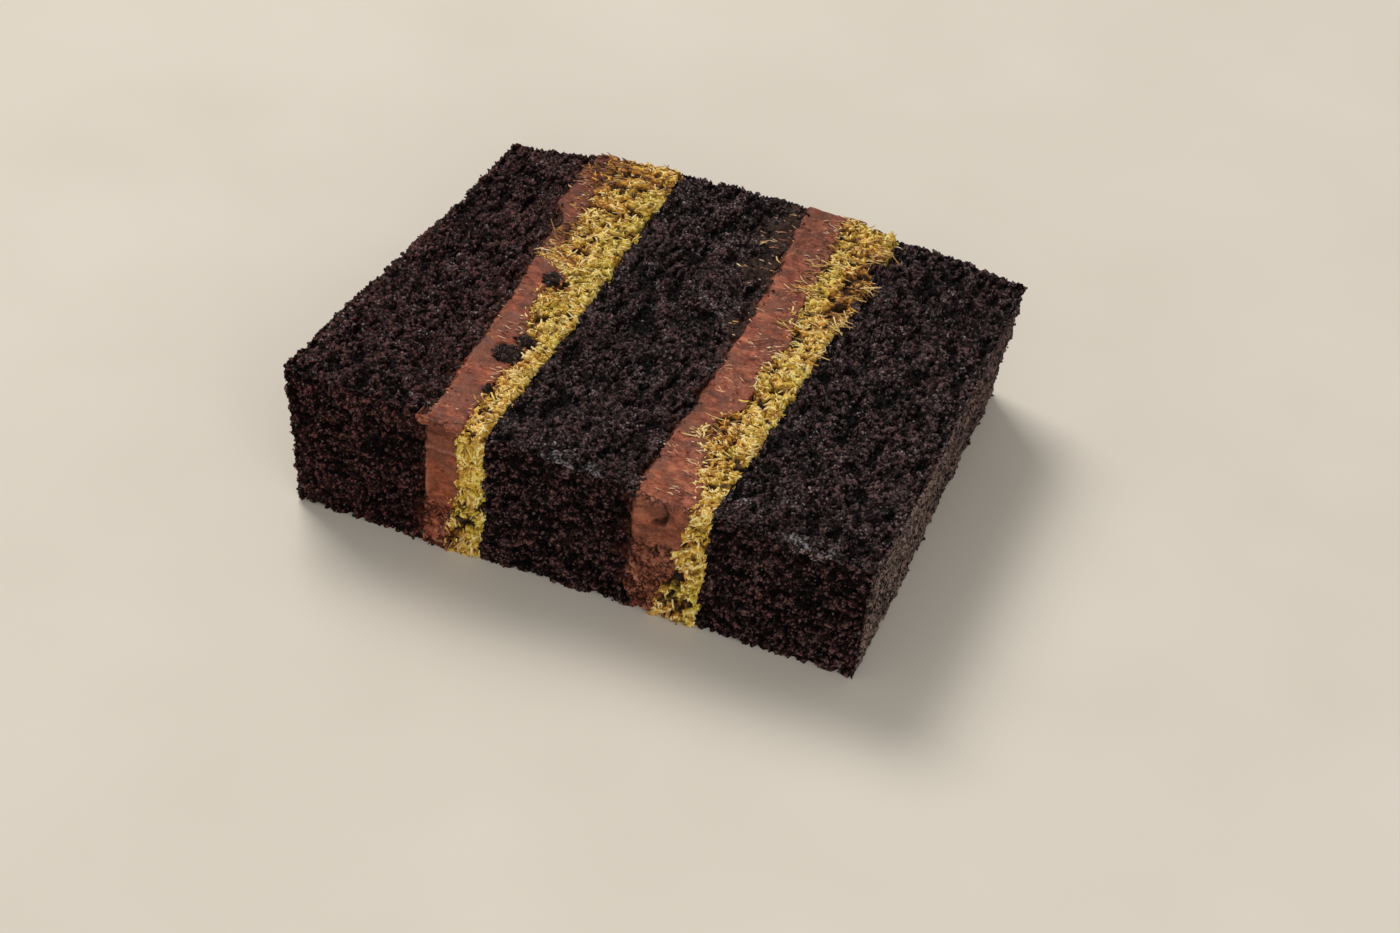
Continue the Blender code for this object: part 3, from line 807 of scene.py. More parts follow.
def paste_share(points, across, seed):
    """Where the paste comes up between the strands, mostly on the side away from the ganache."""
    return smooth_step(-0.35, 0.25, noise(points, PASTE_PATCH, seed) + 0.9 * (across - 0.5))


def warmth(points, across, seed):
    """From 0 where the kunafa is green to 1 where it is golden brown."""
    patches = 0.45 * noise(points, 6.0, seed) + 0.3 * noise(points, 2.5, seed + 1)
    near_front = fading(12.0, 40.0, points[:, 1])
    at_end = fading(1.0, 4.0, points[:, 1]) * fading(24.0, 30.0, points[:, 2])
    warm = 0.56 + patches + 0.35 * (0.5 - across) + 0.15 * near_front - 0.2 * at_end
    warm = warm + 0.7 * in_zones(points, TOASTED + BROWNED) - 0.45 * in_zones(points, GREEN)
    return np.clip(warm, 0.0, 1.0)


def paler(points):
    """How much is added to a tone near the front."""
    return PALER * fading(*PALER_UP_TO, points[:, 1])


def kunafa_relief(surface, seed):
    """Depth below the smooth outline, and the values that the paste's material reads."""
    points = surface.points
    paste = paste_share(points, surface.across, seed)
    bent = warped(points, 1.4, 0.6, seed + 1)
    near, _, mark = clumps(bent, PASTE_LUMP, seed + 5)
    lumps = dome(near) * mix(0.3, 1.0, mark)
    near, _, mark = clumps(bent, PASTE_BIT, seed + 6)
    bits = dome(near) * mark
    smooth = in_zones(points, SMOOTH)
    pits = patchy(bent, 1.5, seed + 7, 0.1, 0.35) * mix(1.0, 0.7, paste)
    hollow = patchy(bent, 2.8, seed + 8, 0.15, 0.45) * mix(1.0, 0.5, paste)
    gaps = np.maximum(in_zones(points, HOLES), 0.7 * in_zones(points, CRUMBLED))
    high = 0.42 + 0.3 * lumps + 0.25 * bits + 0.2 * paste - 0.6 * pits - 0.45 * hollow
    high = np.clip(mix(high, 0.75 + 0.2 * bits, 0.8 * smooth) - 1.1 * gaps, -0.4, 1.0)
    depth = PASTE_TOP + PASTE_RANGE * (1 - high)
    uneven_edge = PASTE_EDGE * (1 + 0.5 * noise(points, 1.6, seed + 10))
    edge = fading(-0.1, uneven_edge, surface.to_right)
    depth += PASTE_EDGE_SINK * (edge * (1 - 0.8 * in_zones(points, HANGING)))
    depth += BACK_SINK * smooth_step(0.3, 0.7, surface.faces["back"])
    # The paste's colour follows this value, so shade is painted in the pits and holes
    shown = high - 0.3 * in_zones(points, BROWNED) + 0.6 * paler(points)
    warm = warmth(points, surface.across, seed + 9)
    return depth, {"high": np.clip(shown, 0.0, 1.0), "paste": paste, "warm": warm}


def turned(count, draw):
    """Random rotations, one matrix each."""
    a, b, c, d = draw.normal(size=(4, count))
    length = np.sqrt(a * a + b * b + c * c + d * d)
    a, b, c, d = a / length, b / length, c / length, d / length
    rows = (
        (1 - 2 * (c * c + d * d), 2 * (b * c - a * d), 2 * (b * d + a * c)),
        (2 * (b * c + a * d), 1 - 2 * (b * b + d * d), 2 * (c * d - a * b)),
        (2 * (b * d - a * c), 2 * (c * d + a * b), 1 - 2 * (b * b + c * c)),
    )
    return np.moveaxis(np.array(rows), 2, 0)


def icosahedron():
    """The twelve corners and twenty faces of a ball of radius 1."""
    golden = (1 + math.sqrt(5)) / 2
    corners = []
    for a, b in itertools.product((-1, 1), (-golden, golden)):
        corners += [(a, b, 0), (0, a, b), (b, 0, a)]
    corners = np.array(corners) / math.hypot(1, golden)
    gaps = np.linalg.norm(corners[:, None] - corners[None], axis=2)
    edge = gaps[gaps > 0.1].min() * 1.1
    faces = []
    for a, b, c in itertools.combinations(range(12), 3):
        if max(gaps[a, b], gaps[b, c], gaps[a, c]) < edge:
            facing = np.dot(np.cross(corners[b] - corners[a], corners[c] - corners[a]), corners[a])
            faces.append((a, b, c) if facing > 0 else (a, c, b))
    return corners, np.array(faces)


def on_floor(shapes):
    """Lifts each shape that reaches under the floor until it lies on it."""
    shapes[..., 2] -= np.minimum(shapes[..., 2].min(axis=1), 0.0)[:, None]
    return shapes


# Loose crumbs: their sizes, most of them small, their proportions and how they lie
CRUMB_SIZE = (0.32, 0.85)
CRUMB_SMALLER = 2.2
CRUMB_FLATTEN = (0.6, 1.25)
CRUMB_JAG = 0.34
CRUMB_LIFT = (-0.15, 0.35)
CRUMB_JITTER = 0.2


def loose_crumbs(centres, sizes, draw):
    """Joined angular crumbs: jagged balls, each with its own turn and proportions."""
    corners, faces = icosahedron()
    count = len(centres)
    shapes = corners[None] * draw.uniform(1 - CRUMB_JAG, 1 + CRUMB_JAG, (count, len(corners), 1))
    shapes = shapes * draw.uniform(*CRUMB_FLATTEN, (count, 1, 3)) * sizes[:, None, None] / 2
    shapes = on_floor(np.einsum("nab,ncb->nca", turned(count, draw), shapes) + centres[:, None])
    numbers = faces[None] + len(corners) * np.arange(count)[:, None, None]
    tones = np.repeat(draw.uniform(size=count), len(corners))
    return shapes.reshape(-1, 3), numbers.reshape(-1, 3).tolist(), {"tone": tones}


def scatter_on(surface, points, count, draw, weight=None):
    """Places on a layer's relief, spread by area, with crumb sizes and the normals there."""
    share = surface.areas if weight is None else surface.areas * weight
    chosen = draw.choice(len(points), count, p=share / share.sum())
    sizes = mix(*CRUMB_SIZE, draw.uniform(size=count) ** CRUMB_SMALLER)
    lift = draw.uniform(*CRUMB_LIFT, count) * sizes
    jitter = draw.uniform(-CRUMB_JITTER, CRUMB_JITTER, (count, 3))
    return points[chosen] + surface.normals[chosen] * lift[:, None] + jitter, sizes


def unit(vectors):
    return vectors / np.linalg.norm(vectors, axis=-1, keepdims=True)


# How far strands bend aside and sag as shares of their lengths, and how uneven their rods are
STRAND_BEND = 0.07
STRAND_SAG = (-0.02, 0.05)
STRAND_FLAT = (0.4, 0.85)
STRAND_UNEVEN = (0.7, 1.25)
STRAND_ENDS = (0.4, 0.95)


def strands(centres, runs, ups, lengths, thicknesses, sides, rings, draw):
    """Joined strands: bent rods of uneven thickness with blunt, broken ends."""
    count = len(centres)
    runs = unit(runs)
    beside = unit(np.cross(runs, ups))
    ups = np.cross(beside, runs)
    t = np.linspace(-0.5, 0.5, rings)
    bow = (t * t * 4)[None, :, None]
    bend_side = (draw.normal(0, STRAND_BEND, count) * lengths)[:, None, None]
    bend_up = (draw.normal(*STRAND_SAG, count) * lengths)[:, None, None]
    line = centres[:, None] + runs[:, None] * (lengths[:, None] * t)[..., None]
    line = line + beside[:, None] * bend_side * bow + ups[:, None] * bend_up * bow
    angles = np.arange(sides) * 2 * math.pi / sides
    flat = draw.uniform(*STRAND_FLAT, (count, 1, 1))
    around = beside[:, None] * np.cos(angles)[None, :, None]
    around = around + ups[:, None] * (flat * np.sin(angles)[None, :, None])
    radius = thicknesses[:, None] / 2 * draw.uniform(*STRAND_UNEVEN, (count, rings))
    radius[:, [0, -1]] *= draw.uniform(*STRAND_ENDS, (count, 2))
    points = line[:, :, None] + around[:, None] * radius[:, :, None, None]
    points = on_floor(points.reshape(count, -1, 3))
    tube = []
    for ring, side in itertools.product(range(rings - 1), range(sides)):
        a = ring * sides + side
        b = ring * sides + (side + 1) % sides
        tube.append((a, b, b + sides, a + sides))
    per_strand = rings * sides
    first = per_strand * np.arange(count)[:, None, None]
    start_cap = np.arange(sides)[::-1]
    end_cap = per_strand - sides + np.arange(sides)
    tubes = np.array(tube)[None] + first
    caps = np.stack((start_cap, end_cap))[None] + first
    return points.reshape(-1, 3), tubes.reshape(-1, 4).tolist() + caps.reshape(-1, sides).tolist()


# A finished layer: its open faces, their relief, how deep that is and the values of its material
Layer = namedtuple("Layer", "surface points depth values")

# How far across a band its edge reaches, and the depth at which strands lie on what is beside it
EDGE_SHARE = 0.12
HANGING_SHARE = 0.25
EDGE_DEPTH = 0.35
BUNCH_SIZE = 2.6
BUNCH_SEED = 83
COATED_PATCH = 7.0
COATED_SEED = 79


def edge_pull(surface):
    """From -1 at a band's left edge to 1 at its right edge, where strands run out there."""
    left = np.exp(-surface.across / EDGE_SHARE) * mix(0.25, 1.0, surface.faces["top"])
    left = left * mix(0.25, 1.0, in_zones(surface.points, STRAWY))
    right = np.exp(-(1 - surface.across) / HANGING_SHARE) * in_zones(surface.points, HANGING)
    return right - left


def bunched(points, seed):
    """How much strands gather in a place, so that they lie in bunches."""
    return patchy(points, BUNCH_SIZE, seed, -0.35, 0.45)


def flake_weight(layer):
    """Flakes lie all over the paste, but not in its holes."""
    bare = 1 - 0.85 * in_zones(layer.surface.points, SMOOTH)
    bare = bare * mix(1.0, 0.8, layer.surface.faces["front"])
    bare = bare * mix(1.0, 0.65, layer.surface.faces["back"])
    bare = bare * (1 - 0.75 * in_zones(layer.surface.points, BROWNED))
    return layer.values["high"] ** 2 * mix(1.0, 0.5, layer.values["paste"]) * bare


def straw_weight(layer):
    """Straws show most at the edges, and above all where they hang out."""
    if "smear" in layer.values:
        return 0.035 * layer.values["smear"] * layer.surface.faces["top"]
    pull = edge_pull(layer.surface)
    weight = 0.06 + 1.5 * np.clip(-pull, 0, 1) + 1.1 * np.clip(pull, 0, 1)
    weight = weight * (0.2 + layer.values["high"])
    bunch = 2 * bunched(layer.surface.points, BUNCH_SEED)
    return weight * bunch * mix(1.0, 0.3, layer.surface.faces["front"] + layer.surface.faces["back"])


def toasted_weight(layer):
    """Toasted strands lie on the ganache's side of the kunafa, in patches, and over some ganache."""
    points = layer.surface.points
    if "high" not in layer.values:
        return 0.8 * in_zones(points, STREWN) * layer.surface.faces["top"]
    patches = 0.3 * (1 - layer.surface.across) ** 2 + 0.6 * in_zones(points, TOASTED + BROWNED)
    return (0.08 + patches) * (0.2 + layer.values["high"])


def coated_weight(layer):
    """Strands dragged into the ganache, and a few over the smeared cake."""
    on_top = layer.surface.faces["top"]
    if "smear" in layer.values:
        return 0.5 * layer.values["smear"] * on_top
    patches = patchy(layer.surface.points, COATED_PATCH, COATED_SEED, -0.2, 0.4)
    strewn = in_zones(layer.surface.points, STREWN)
    return ((0.15 + patches) * (0.2 + layer.surface.across ** 2) + 0.8 * strewn) * on_top


# Each kind of strand: its sizes, how many for a square millimetre of full weight, how far it may
# stand out of the band's edge, how far its run turns from straight across, and where it lies.
Kind = namedtuple("Kind", "length thickness sides rings density reach turn weight")
KINDS = {
    "flake": Kind((0.6, 2.5), (0.26, 0.56), 4, 3, 8.6, 0.2, 1.9, flake_weight),
    "straw": Kind((1.4, 5.2), (0.28, 0.44), 4, 4, 2.0, 2.3, 0.8, straw_weight),
    "toasted": Kind((0.8, 3.2), (0.28, 0.50), 4, 4, 1.7, 1.2, 1.0, toasted_weight),
    "coated": Kind((0.6, 2.6), (0.24, 0.38), 4, 4, 0.7, 0.0, 0.6, coated_weight),
}

# How strands lie on the top, and how that differs on the front and the back
STRAND_LIFT = (-0.2, 0.4)
FRONT_LIFT = (-0.4, 0.05)
STRAND_TILT = 0.22
STRAND_JITTER = 0.15
PULL_SPREAD = (-0.2, 1.0)
EDGE_FEATHER = 0.5
FRONT_TILT = 0.08
FRONT_COARSER = 1.25
FRONT_TURN = math.radians(70)
HANGING_LONGER = 1.35
WARM_SPREAD = 0.3
BUNCH_TONE = 0.35
BROWNED_TONE = 0.45

# The strands of one kind on one layer
Placed = namedtuple("Placed", "centres runs ups lengths thicknesses warm")


def strand_runs(kind, surface, rows, upright, draw):
    """Which way strands run: across the band, turned in bunches and tilted a little."""
    ups = surface.normals[rows]
    together = 0.8 * noise(surface.points[rows], BUNCH_SIZE, BUNCH_SEED + 1)
    turn = kind.turn * (0.8 * draw.uniform(-1, 1, len(rows)) + together) * mix(1.0, 0.5, upright)
    turn = turn + FRONT_TURN * upright
    tilt = draw.normal(0, 1.0, len(rows)) * mix(STRAND_TILT, FRONT_TILT, upright)
    sideways = unit(np.array((1.0, 0, 0)) - ups * ups[:, :1])
    lengthways = np.cross(ups, sideways)
    level = sideways * np.cos(turn)[:, None] + lengthways * np.sin(turn)[:, None]
    return unit(level + ups * tilt[:, None])


def strand_places(kind, layer, draw):
    """Strands of one kind drawn by weight on a layer, with their sizes, runs and warmth."""
    surface = layer.surface
    weight = kind.weight(layer) * surface.areas
    count = int(weight.sum() * kind.density)
    rows = draw.choice(len(surface.points), count, p=weight / weight.sum())
    ups = surface.normals[rows]
    upright = (surface.faces["front"] + surface.faces["back"])[rows]
    pull = np.zeros(count)
    if kind.reach and "warm" in layer.values:
        pull = edge_pull(surface)[rows]

    coarser = mix(1.0, FRONT_COARSER, upright)
    low, high = kind.length
    lengths = (low + (high - low) * draw.uniform(size=count) ** 2) * coarser
    lengths = lengths * mix(1.0, HANGING_LONGER, np.clip(pull, 0, 1))
    thicknesses = draw.uniform(*kind.thickness, count) * coarser
    runs = strand_runs(kind, surface, rows, upright, draw)

    depth = mix(layer.depth[rows], np.minimum(layer.depth[rows], EDGE_DEPTH), np.abs(pull))
    lift = mix(draw.uniform(*STRAND_LIFT, count), draw.uniform(*FRONT_LIFT, count), upright)
    lift = lift * np.mean(kind.thickness) * coarser
    centres = surface.points[rows] + ups * (lift - depth)[:, None]
    centres = centres + draw.uniform(-STRAND_JITTER, STRAND_JITTER, (count, 3))
    centres[:, 0] += pull * kind.reach * draw.uniform(*PULL_SPREAD, count)
    past_edge = np.abs(runs[:, 0]) * lengths / 2 - surface.to_right[rows]
    past_edge -= EDGE_FEATHER * draw.uniform(size=count) ** 2
    centres[:, 0] -= np.where(pull > 0.1, 0.0, np.clip(past_edge, 0.0, None))

    warm = layer.values["warm"][rows] if "warm" in layer.values else np.ones(count)
    warm = np.clip(warm + draw.normal(0, WARM_SPREAD, count), 0.0, 1.0)
    return Placed(centres, runs, ups, lengths, thicknesses, warm)


def strand_set(kind, layers, seed):
    """All strands of one kind, joined, with a tone and a warmth for each."""
    draw = np.random.RandomState(seed)
    groups = zip(*(strand_places(kind, layer, draw) for layer in layers))
    placed = Placed(*(np.concatenate(group) for group in groups))
    tones = draw.uniform(0.0, 1.0, len(placed.warm)) + BUNCH_TONE * noise(placed.centres, 2.2, seed)
    tones = tones - BROWNED_TONE * in_zones(placed.centres, BROWNED)
    tones = tones + paler(placed.centres)
    points, faces = strands(*placed[:5], kind.sides, kind.rings, draw)
    corners = kind.rings * kind.sides
    values = {"tone": np.clip(tones, 0, 1), "warm": placed.warm}
    values = {key: np.repeat(numbers, corners) for key, numbers in values.items()}
    return points, faces, values


# Materials, with texture sizes in millimetres
def start_material(name):
    """A material with its shader and the place that its textures read."""
    material = bpy.data.materials.new(name)
    material.use_nodes = True
    nodes = material.node_tree.nodes
    shader = nodes["Principled BSDF"]
    place = nodes.new("ShaderNodeTexCoord").outputs["Object"]
    return material, shader, place


def node_beside(socket, kind):
    """A new node in the tree of a socket that it reads."""
    return socket.id_data.nodes.new("ShaderNode" + kind)


def put(socket, value):
    if isinstance(value, bpy.types.NodeSocket):
        socket.id_data.links.new(value, socket)
    else:
        socket.default_value = value


def noise_node(place, size, detail=3.0, roughness=0.55):
    texture = node_beside(place, "TexNoise")
    put(texture.inputs["Vector"], place)
    put(texture.inputs["Scale"], 1 / (size * MM))
    put(texture.inputs["Detail"], detail)
    put(texture.inputs["Roughness"], roughness)
    return texture.outputs["Fac"]


def cell_node(place, size, output="Color", feature="F1"):
    texture = node_beside(place, "TexVoronoi")
    texture.feature = feature
    put(texture.inputs["Vector"], place)
    put(texture.inputs["Scale"], 1 / (size * MM))
    return texture.outputs[output]


def stretched(place, factors):
    """The place with its axes scaled, for grain that runs one way."""
    mapping = node_beside(place, "Mapping")
    put(mapping.inputs["Vector"], place)
    put(mapping.inputs["Scale"], factors)
    return mapping.outputs["Vector"]


def bent_place(place, size, amount):
    """The place pushed about by noise, so that cells lose their straight sides."""
    texture = node_beside(place, "TexNoise")
    put(texture.inputs["Vector"], place)
    put(texture.inputs["Scale"], 1 / (size * MM))
    push = node_beside(place, "VectorMath")
    push.operation = "MULTIPLY_ADD"
    put(push.inputs[0], texture.outputs["Color"])
    put(push.inputs[1], (amount * MM,) * 3)
    put(push.inputs[2], place)
    return push.outputs[0]


def point_value(place, key):
    """A value that mesh_object stored at each point."""
    attribute = node_beside(place, "Attribute")
    attribute.attribute_name = key
    return attribute.outputs["Fac"]


def ramp(value, stops):
    """Colours at places from 0 to 1. A stop is a place and a linear colour."""
    node = node_beside(value, "ValToRGB")
    put(node.inputs["Fac"], value)
    elements = node.color_ramp.elements
    while len(elements) < len(stops):
        elements.new(1.0)
    for element, (position, colour) in zip(elements, stops):
        element.position = position
        element.color = (*colour, 1.0)
    return node.outputs["Color"]


def rescaled(value, low, high, new_low=0.0, new_high=1.0):
    node = node_beside(value, "MapRange")
    node.interpolation_type = "SMOOTHSTEP"
    put(node.inputs["Value"], value)
    put(node.inputs["From Min"], low)
    put(node.inputs["From Max"], high)
    put(node.inputs["To Min"], new_low)
    put(node.inputs["To Max"], new_high)
    return node.outputs["Result"]


# The sockets of a mix node that are for colours, by number, since their names repeat
MIX_FACTOR = 0
MIX_COLOURS = (6, 7)
MIX_RESULT = 2


def tinted(factor, colour, other, way="MIX"):
    """A colour taken towards another by a factor, or multiplied by it as far as the factor says."""
    node = node_beside(colour, "Mix")
    node.data_type = "RGBA"
    node.blend_type = way
    put(node.inputs[MIX_FACTOR], factor)
    put(node.inputs[MIX_COLOURS[0]], colour)
    put(node.inputs[MIX_COLOURS[1]], (*other, 1.0) if isinstance(other, tuple) else other)
    return node.outputs[MIX_RESULT]


def math_node(operation, a, b):
    node = node_beside(a, "Math")
    node.operation = operation
    put(node.inputs[0], a)
    put(node.inputs[1], b)
    return node.outputs[0]


def times(a, b):
    return math_node("MULTIPLY", a, b)


def plus(a, b):
    return math_node("ADD", a, b)


def minus(a, b):
    return math_node("SUBTRACT", a, b)


def set_look(shader, colour, roughness, specular):
    put(shader.inputs["Base Color"], colour)
    put(shader.inputs["Roughness"], roughness)
    put(shader.inputs["Specular IOR Level"], specular)


def bumped(shader, height, distance, strength):
    bump = node_beside(height, "Bump")
    put(bump.inputs["Strength"], strength)
    put(bump.inputs["Distance"], distance * MM)
    put(bump.inputs["Height"], height)
    put(shader.inputs["Normal"], bump.outputs["Normal"])


def with_painted_glints(colour, place, high, top):
    """Paints moist glints on the crumb's tips into its colour, most on the top face and in patches:
    painted highlights.
    """
    glints = rescaled(cell_node(place, 0.34), 0.78, 0.85)
    glints = times(glints, rescaled(noise_node(place, 7.0, 3.0), 0.4, 0.62, 0.15, 1.0))
    glints = times(glints, rescaled(high, 0.3, 0.7, 0.0, 0.7))
    glints = times(glints, rescaled(top, 0.2, 0.8, 0.6, 1.0))
    return tinted(glints, colour, PAINTED_GLINT_COLOUR)


def with_marks(colour, place, fine, grain, pressed):
    """Adds the grey, shiny pressed edges with painted sheen on them, the dragged cocoa and the ganache
    at the layer's edge.
    """
    # Pressed edges: a grey tint that is partly painted sheen, then specks of painted sheen
    colour = tinted(times(pressed, 0.6), colour, PRESSED_GREY_AND_SHEEN)
    painted_sheen = times(pressed, rescaled(grain, 0.55, 0.75, 0.0, 0.8))
    colour = tinted(painted_sheen, colour, PAINTED_SHEEN_COLOUR)
    smear = times(point_value(place, "smear"), rescaled(fine, 0.25, 0.6, 0.3, 1.0))
    colour = tinted(smear, colour, SMEAR_COLOUR)
    stain = times(point_value(place, "stain"), rescaled(fine, 0.3, 0.55, 0.2, 0.9))
    return tinted(stain, colour, STAIN_COLOUR)


def with_crust(colour, crust, place, level, fine, grain):
    """Adds the paler baked crust, in streaks along Y with light and dark grains."""
    streaks = noise_node(stretched(place, (1.0, 0.35, 1.0)), 0.8, 4.0, 0.75)
    # Less crust colour where the relief is low, so the gaps between the ridges keep the pores' painted
    # shade
    baked = times(crust, rescaled(plus(times(level, 0.55), streaks), 0.64, 1.02))
    light = rescaled(plus(times(fine, 0.6), times(grain, 0.5)), 0.35, 0.75)
    return tinted(baked, colour, ramp(light, ((0.0, CRUST_SHADE), (1.0, CRUST_COLOUR))))


def crumb_material(name, deep, body, bright):
    """Moist chocolate crumb: pores painted black with shade, brown grains, pressed and smeared spots
    and a paler crust.
    """
    material, shader, place = start_material(name)
    high = point_value(place, "high")
    top = point_value(place, "top")
    pressed = point_value(place, "pressed")
    fine = noise_node(place, 0.8, 4.0, 0.7)
    grain = cell_node(place, 0.45)
    # The level follows the relief, so the ramp paints shade into the pores
    level = plus(high, times(minus(fine, 0.5), 1.9))
    level = plus(level, times(minus(grain, 0.5), 0.95))
    colour = ramp(level, ((0.2, deep), (0.55, body), (1.0, bright)))
    patches = rescaled(noise_node(place, 6.0, 2.0), 0.35, 0.7)
    colour = tinted(patches, colour, PATCH_TINT, "MULTIPLY")
    # Painted highlights: glints on the crumb's tips
    colour = with_painted_glints(colour, place, high, top)
    colour = with_marks(colour, place, fine, grain, pressed)
    # Side faces tinted redder, their own tone, and painted lighter than the top: painted light
    sides = rescaled(top, 0.2, 0.8, 1.0, 0.0)
    colour = tinted(sides, colour, SIDE_TINT_AND_LIGHT, "MULTIPLY")
    colour = with_crust(colour, point_value(place, "crust"), place, level, fine, grain)
    specks = rescaled(grain, 0.2, 0.6, 0.25, 0.9)
    specks = times(specks, rescaled(pressed, 0.0, 0.9, 1.0, 0.4))
    set_look(shader, colour, specks, 0.08)
    bumped(shader, plus(fine, times(grain, 0.5)), 0.5, 0.9)
    return material


def loose_crumb_material(name, deep, body, bright):
    """Loose crumbs, some darker and some browner than the rest."""
    material, shader, place = start_material(name)
    fine = noise_node(place, 0.5, 4.0, 0.7)
    tone = plus(point_value(place, "tone"), minus(fine, 0.5))
    colour = ramp(tone, ((0.05, deep), (0.5, body), (0.95, bright)))
    set_look(shader, colour, rescaled(cell_node(place, 0.9), 0.2, 0.5, 0.2, 1.0), 0.4)
    bumped(shader, noise_node(place, 0.2, 3.0), 0.15, 0.7)
    return material


def chips(place):
    """A tone for each small chip of broken ganache, for its own tone and painted highlights, and the
    gaps between some of the chips, for painted shade.
    """
    bent = bent_place(place, 0.8, 0.8)
    edge = cell_node(bent, CHIP_SIZE, "Distance", "DISTANCE_TO_EDGE")
    gap = rescaled(edge, 0.03, 0.16, 1.0, 0.0)
    gap = times(gap, rescaled(noise_node(place, 1.6, 2.0), 0.38, 0.54))
    return cell_node(bent, CHIP_SIZE), gap


def ganache_material(name, shade, body, light):
    """Set chocolate ganache: matt smears, pale where it was scraped, painted highlights on its chips
    and edges, and painted shade in its cracks, pits and gaps.
    """
    material, shader, place = start_material(name)
    smears = noise_node(stretched(place, (0.6, 1.0, 1.0)), 2.0, 6.0, 0.68)
    colour = ramp(smears, ((0.36, shade), (0.5, body), (0.66, light)))
    colour = tinted(times(point_value(place, "dull"), 0.65), colour, DULL_GANACHE)
    fine = noise_node(place, 0.7, 4.0, 0.7)
    # Pale where scraped, with painted highlights on the lips, chips and edges
    pale = times(point_value(place, "pale"), rescaled(fine, 0.35, 0.6, 0.3, 1.0))
    colour = tinted(pale, colour, PALE_AND_HIGHLIGHT_GANACHE)
    # Painted shade in the cracks, pits, grooves and gaps, and darker ganache, from the mesh's dark
    # values
    colour = tinted(times(point_value(place, "dark"), 0.95), colour, DARK_AND_SHADE_GANACHE)
    # Fine pale specks: painted highlights
    specks = rescaled(noise_node(place, 0.45, 4.0, 0.75), 0.56, 0.66, 0.0, 0.45)
    colour = tinted(specks, colour, PALE_AND_HIGHLIGHT_GANACHE)
    chipped = point_value(place, "chipped")
    chip, gap = chips(place)
    # Lighter chips: their own tone and painted highlights
    colour = tinted(times(rescaled(chip, 0.55, 0.8, 0.0, 0.5), chipped), colour, CHIP_TONE_AND_HIGHLIGHT)
    # Painted shade in the gaps between the chips
    colour = tinted(times(gap, chipped), colour, DARK_AND_SHADE_GANACHE)
    set_look(shader, colour, rescaled(smears, 0.3, 0.7, 0.40, 0.60), 0.16)
    scratches = noise_node(stretched(place, (0.4, 1.0, 0.8)), 0.5, 4.0, 0.6)
    relief = plus(scratches, times(fine, 0.8))
    relief = plus(relief, times(minus(chip, gap), times(chipped, 1.6)))
    bumped(shader, relief, 0.25, 0.6)
    return material


def kunafa_colour(place, level):
    """From dark gaps, where shade is painted, to cream tips, greener or more golden by the warmth."""
    green = ramp(level, GREEN_KUNAFA)
    return tinted(point_value(place, "warm"), green, ramp(level, GOLDEN_KUNAFA))


def paste_material(name):
    """Pistachio paste with crushed strands in it, painted brown and dark with shade in its holes."""
    material, shader, place = start_material(name)
    fine = noise_node(place, 0.8, 4.0, 0.65)
    grain = cell_node(stretched(place, (0.6, 1.0, 1.0)), 0.6)
    # The level follows the relief, so the ramp paints shade into the pits and holes
    level = plus(point_value(place, "high"), minus(fine, 0.5))
    level = plus(level, times(minus(grain, 0.5), 0.45))
    set_look(shader, kunafa_colour(place, level), rescaled(fine, 0.3, 0.7, 0.4, 0.65), 0.3)
    bumped(shader, plus(fine, times(grain, 0.5)), 0.4, 0.8)
    return material


def finish_strand(shader, place, colour, fine):
    """The soft sheen and the fine grain that all strands have."""
    set_look(shader, colour, rescaled(fine, 0.3, 0.7, 0.4, 0.6), 0.35)
    bumped(shader, noise_node(place, 0.3, 3.0), 0.12, 0.5)


def flake_material(name):
    """Short strands coated with paste."""
    material, shader, place = start_material(name)
    fine = noise_node(place, 0.8, 3.0, 0.7)
    tone = plus(times(point_value(place, "tone"), 0.85), minus(fine, 0.18))
    finish_strand(shader, place, kunafa_colour(place, tone), fine)
    return material


def strand_material(name, colours):
    """Bare pastry strands, their colour changing from one strand to the next."""
    material, shader, place = start_material(name)
    fine = noise_node(place, 0.9, 3.0, 0.7)
    tone = plus(point_value(place, "tone"), minus(fine, 0.5))
    stops = [(number / (len(colours) - 1), colour) for number, colour in enumerate(colours)]
    finish_strand(shader, place, ramp(tone, stops), fine)
    return material


def floor_material():
    material, shader, place = start_material("floor_plain")
    tone = noise_node(place, 60.0, 2.0)
    put(shader.inputs["Base Color"], ramp(tone, ((0.3, FLOOR_SHADE), (0.7, FLOOR_COLOUR))))
    put(shader.inputs["Roughness"], 0.8)
    return material


# Linear colours
# Crumb colours from dark to light; on the layers' faces the dark end is painted shade in the pores
WARM_CRUMB = ((0.0008, 0.0003, 0.0002), (0.0125, 0.0052, 0.0046), (0.135, 0.066, 0.061))
PLAIN_CRUMB = ((0.0007, 0.0004, 0.0003), (0.0110, 0.0062, 0.0058), (0.125, 0.080, 0.077))
FILLING_CRUMB = ((0.0010, 0.0004, 0.0003), (0.0150, 0.0060, 0.0040), (0.060, 0.025, 0.018))
PATCH_TINT = (1.2, 0.97, 0.95)
CRUST_SHADE = (0.070, 0.043, 0.034)
CRUST_COLOUR = (0.300, 0.215, 0.180)
# Side faces: a redder own tone and painted light
SIDE_TINT_AND_LIGHT = (1.40, 1.12, 1.06)
# Painted highlight colour for the crumb's glints
PAINTED_GLINT_COLOUR = (0.42, 0.38, 0.38)
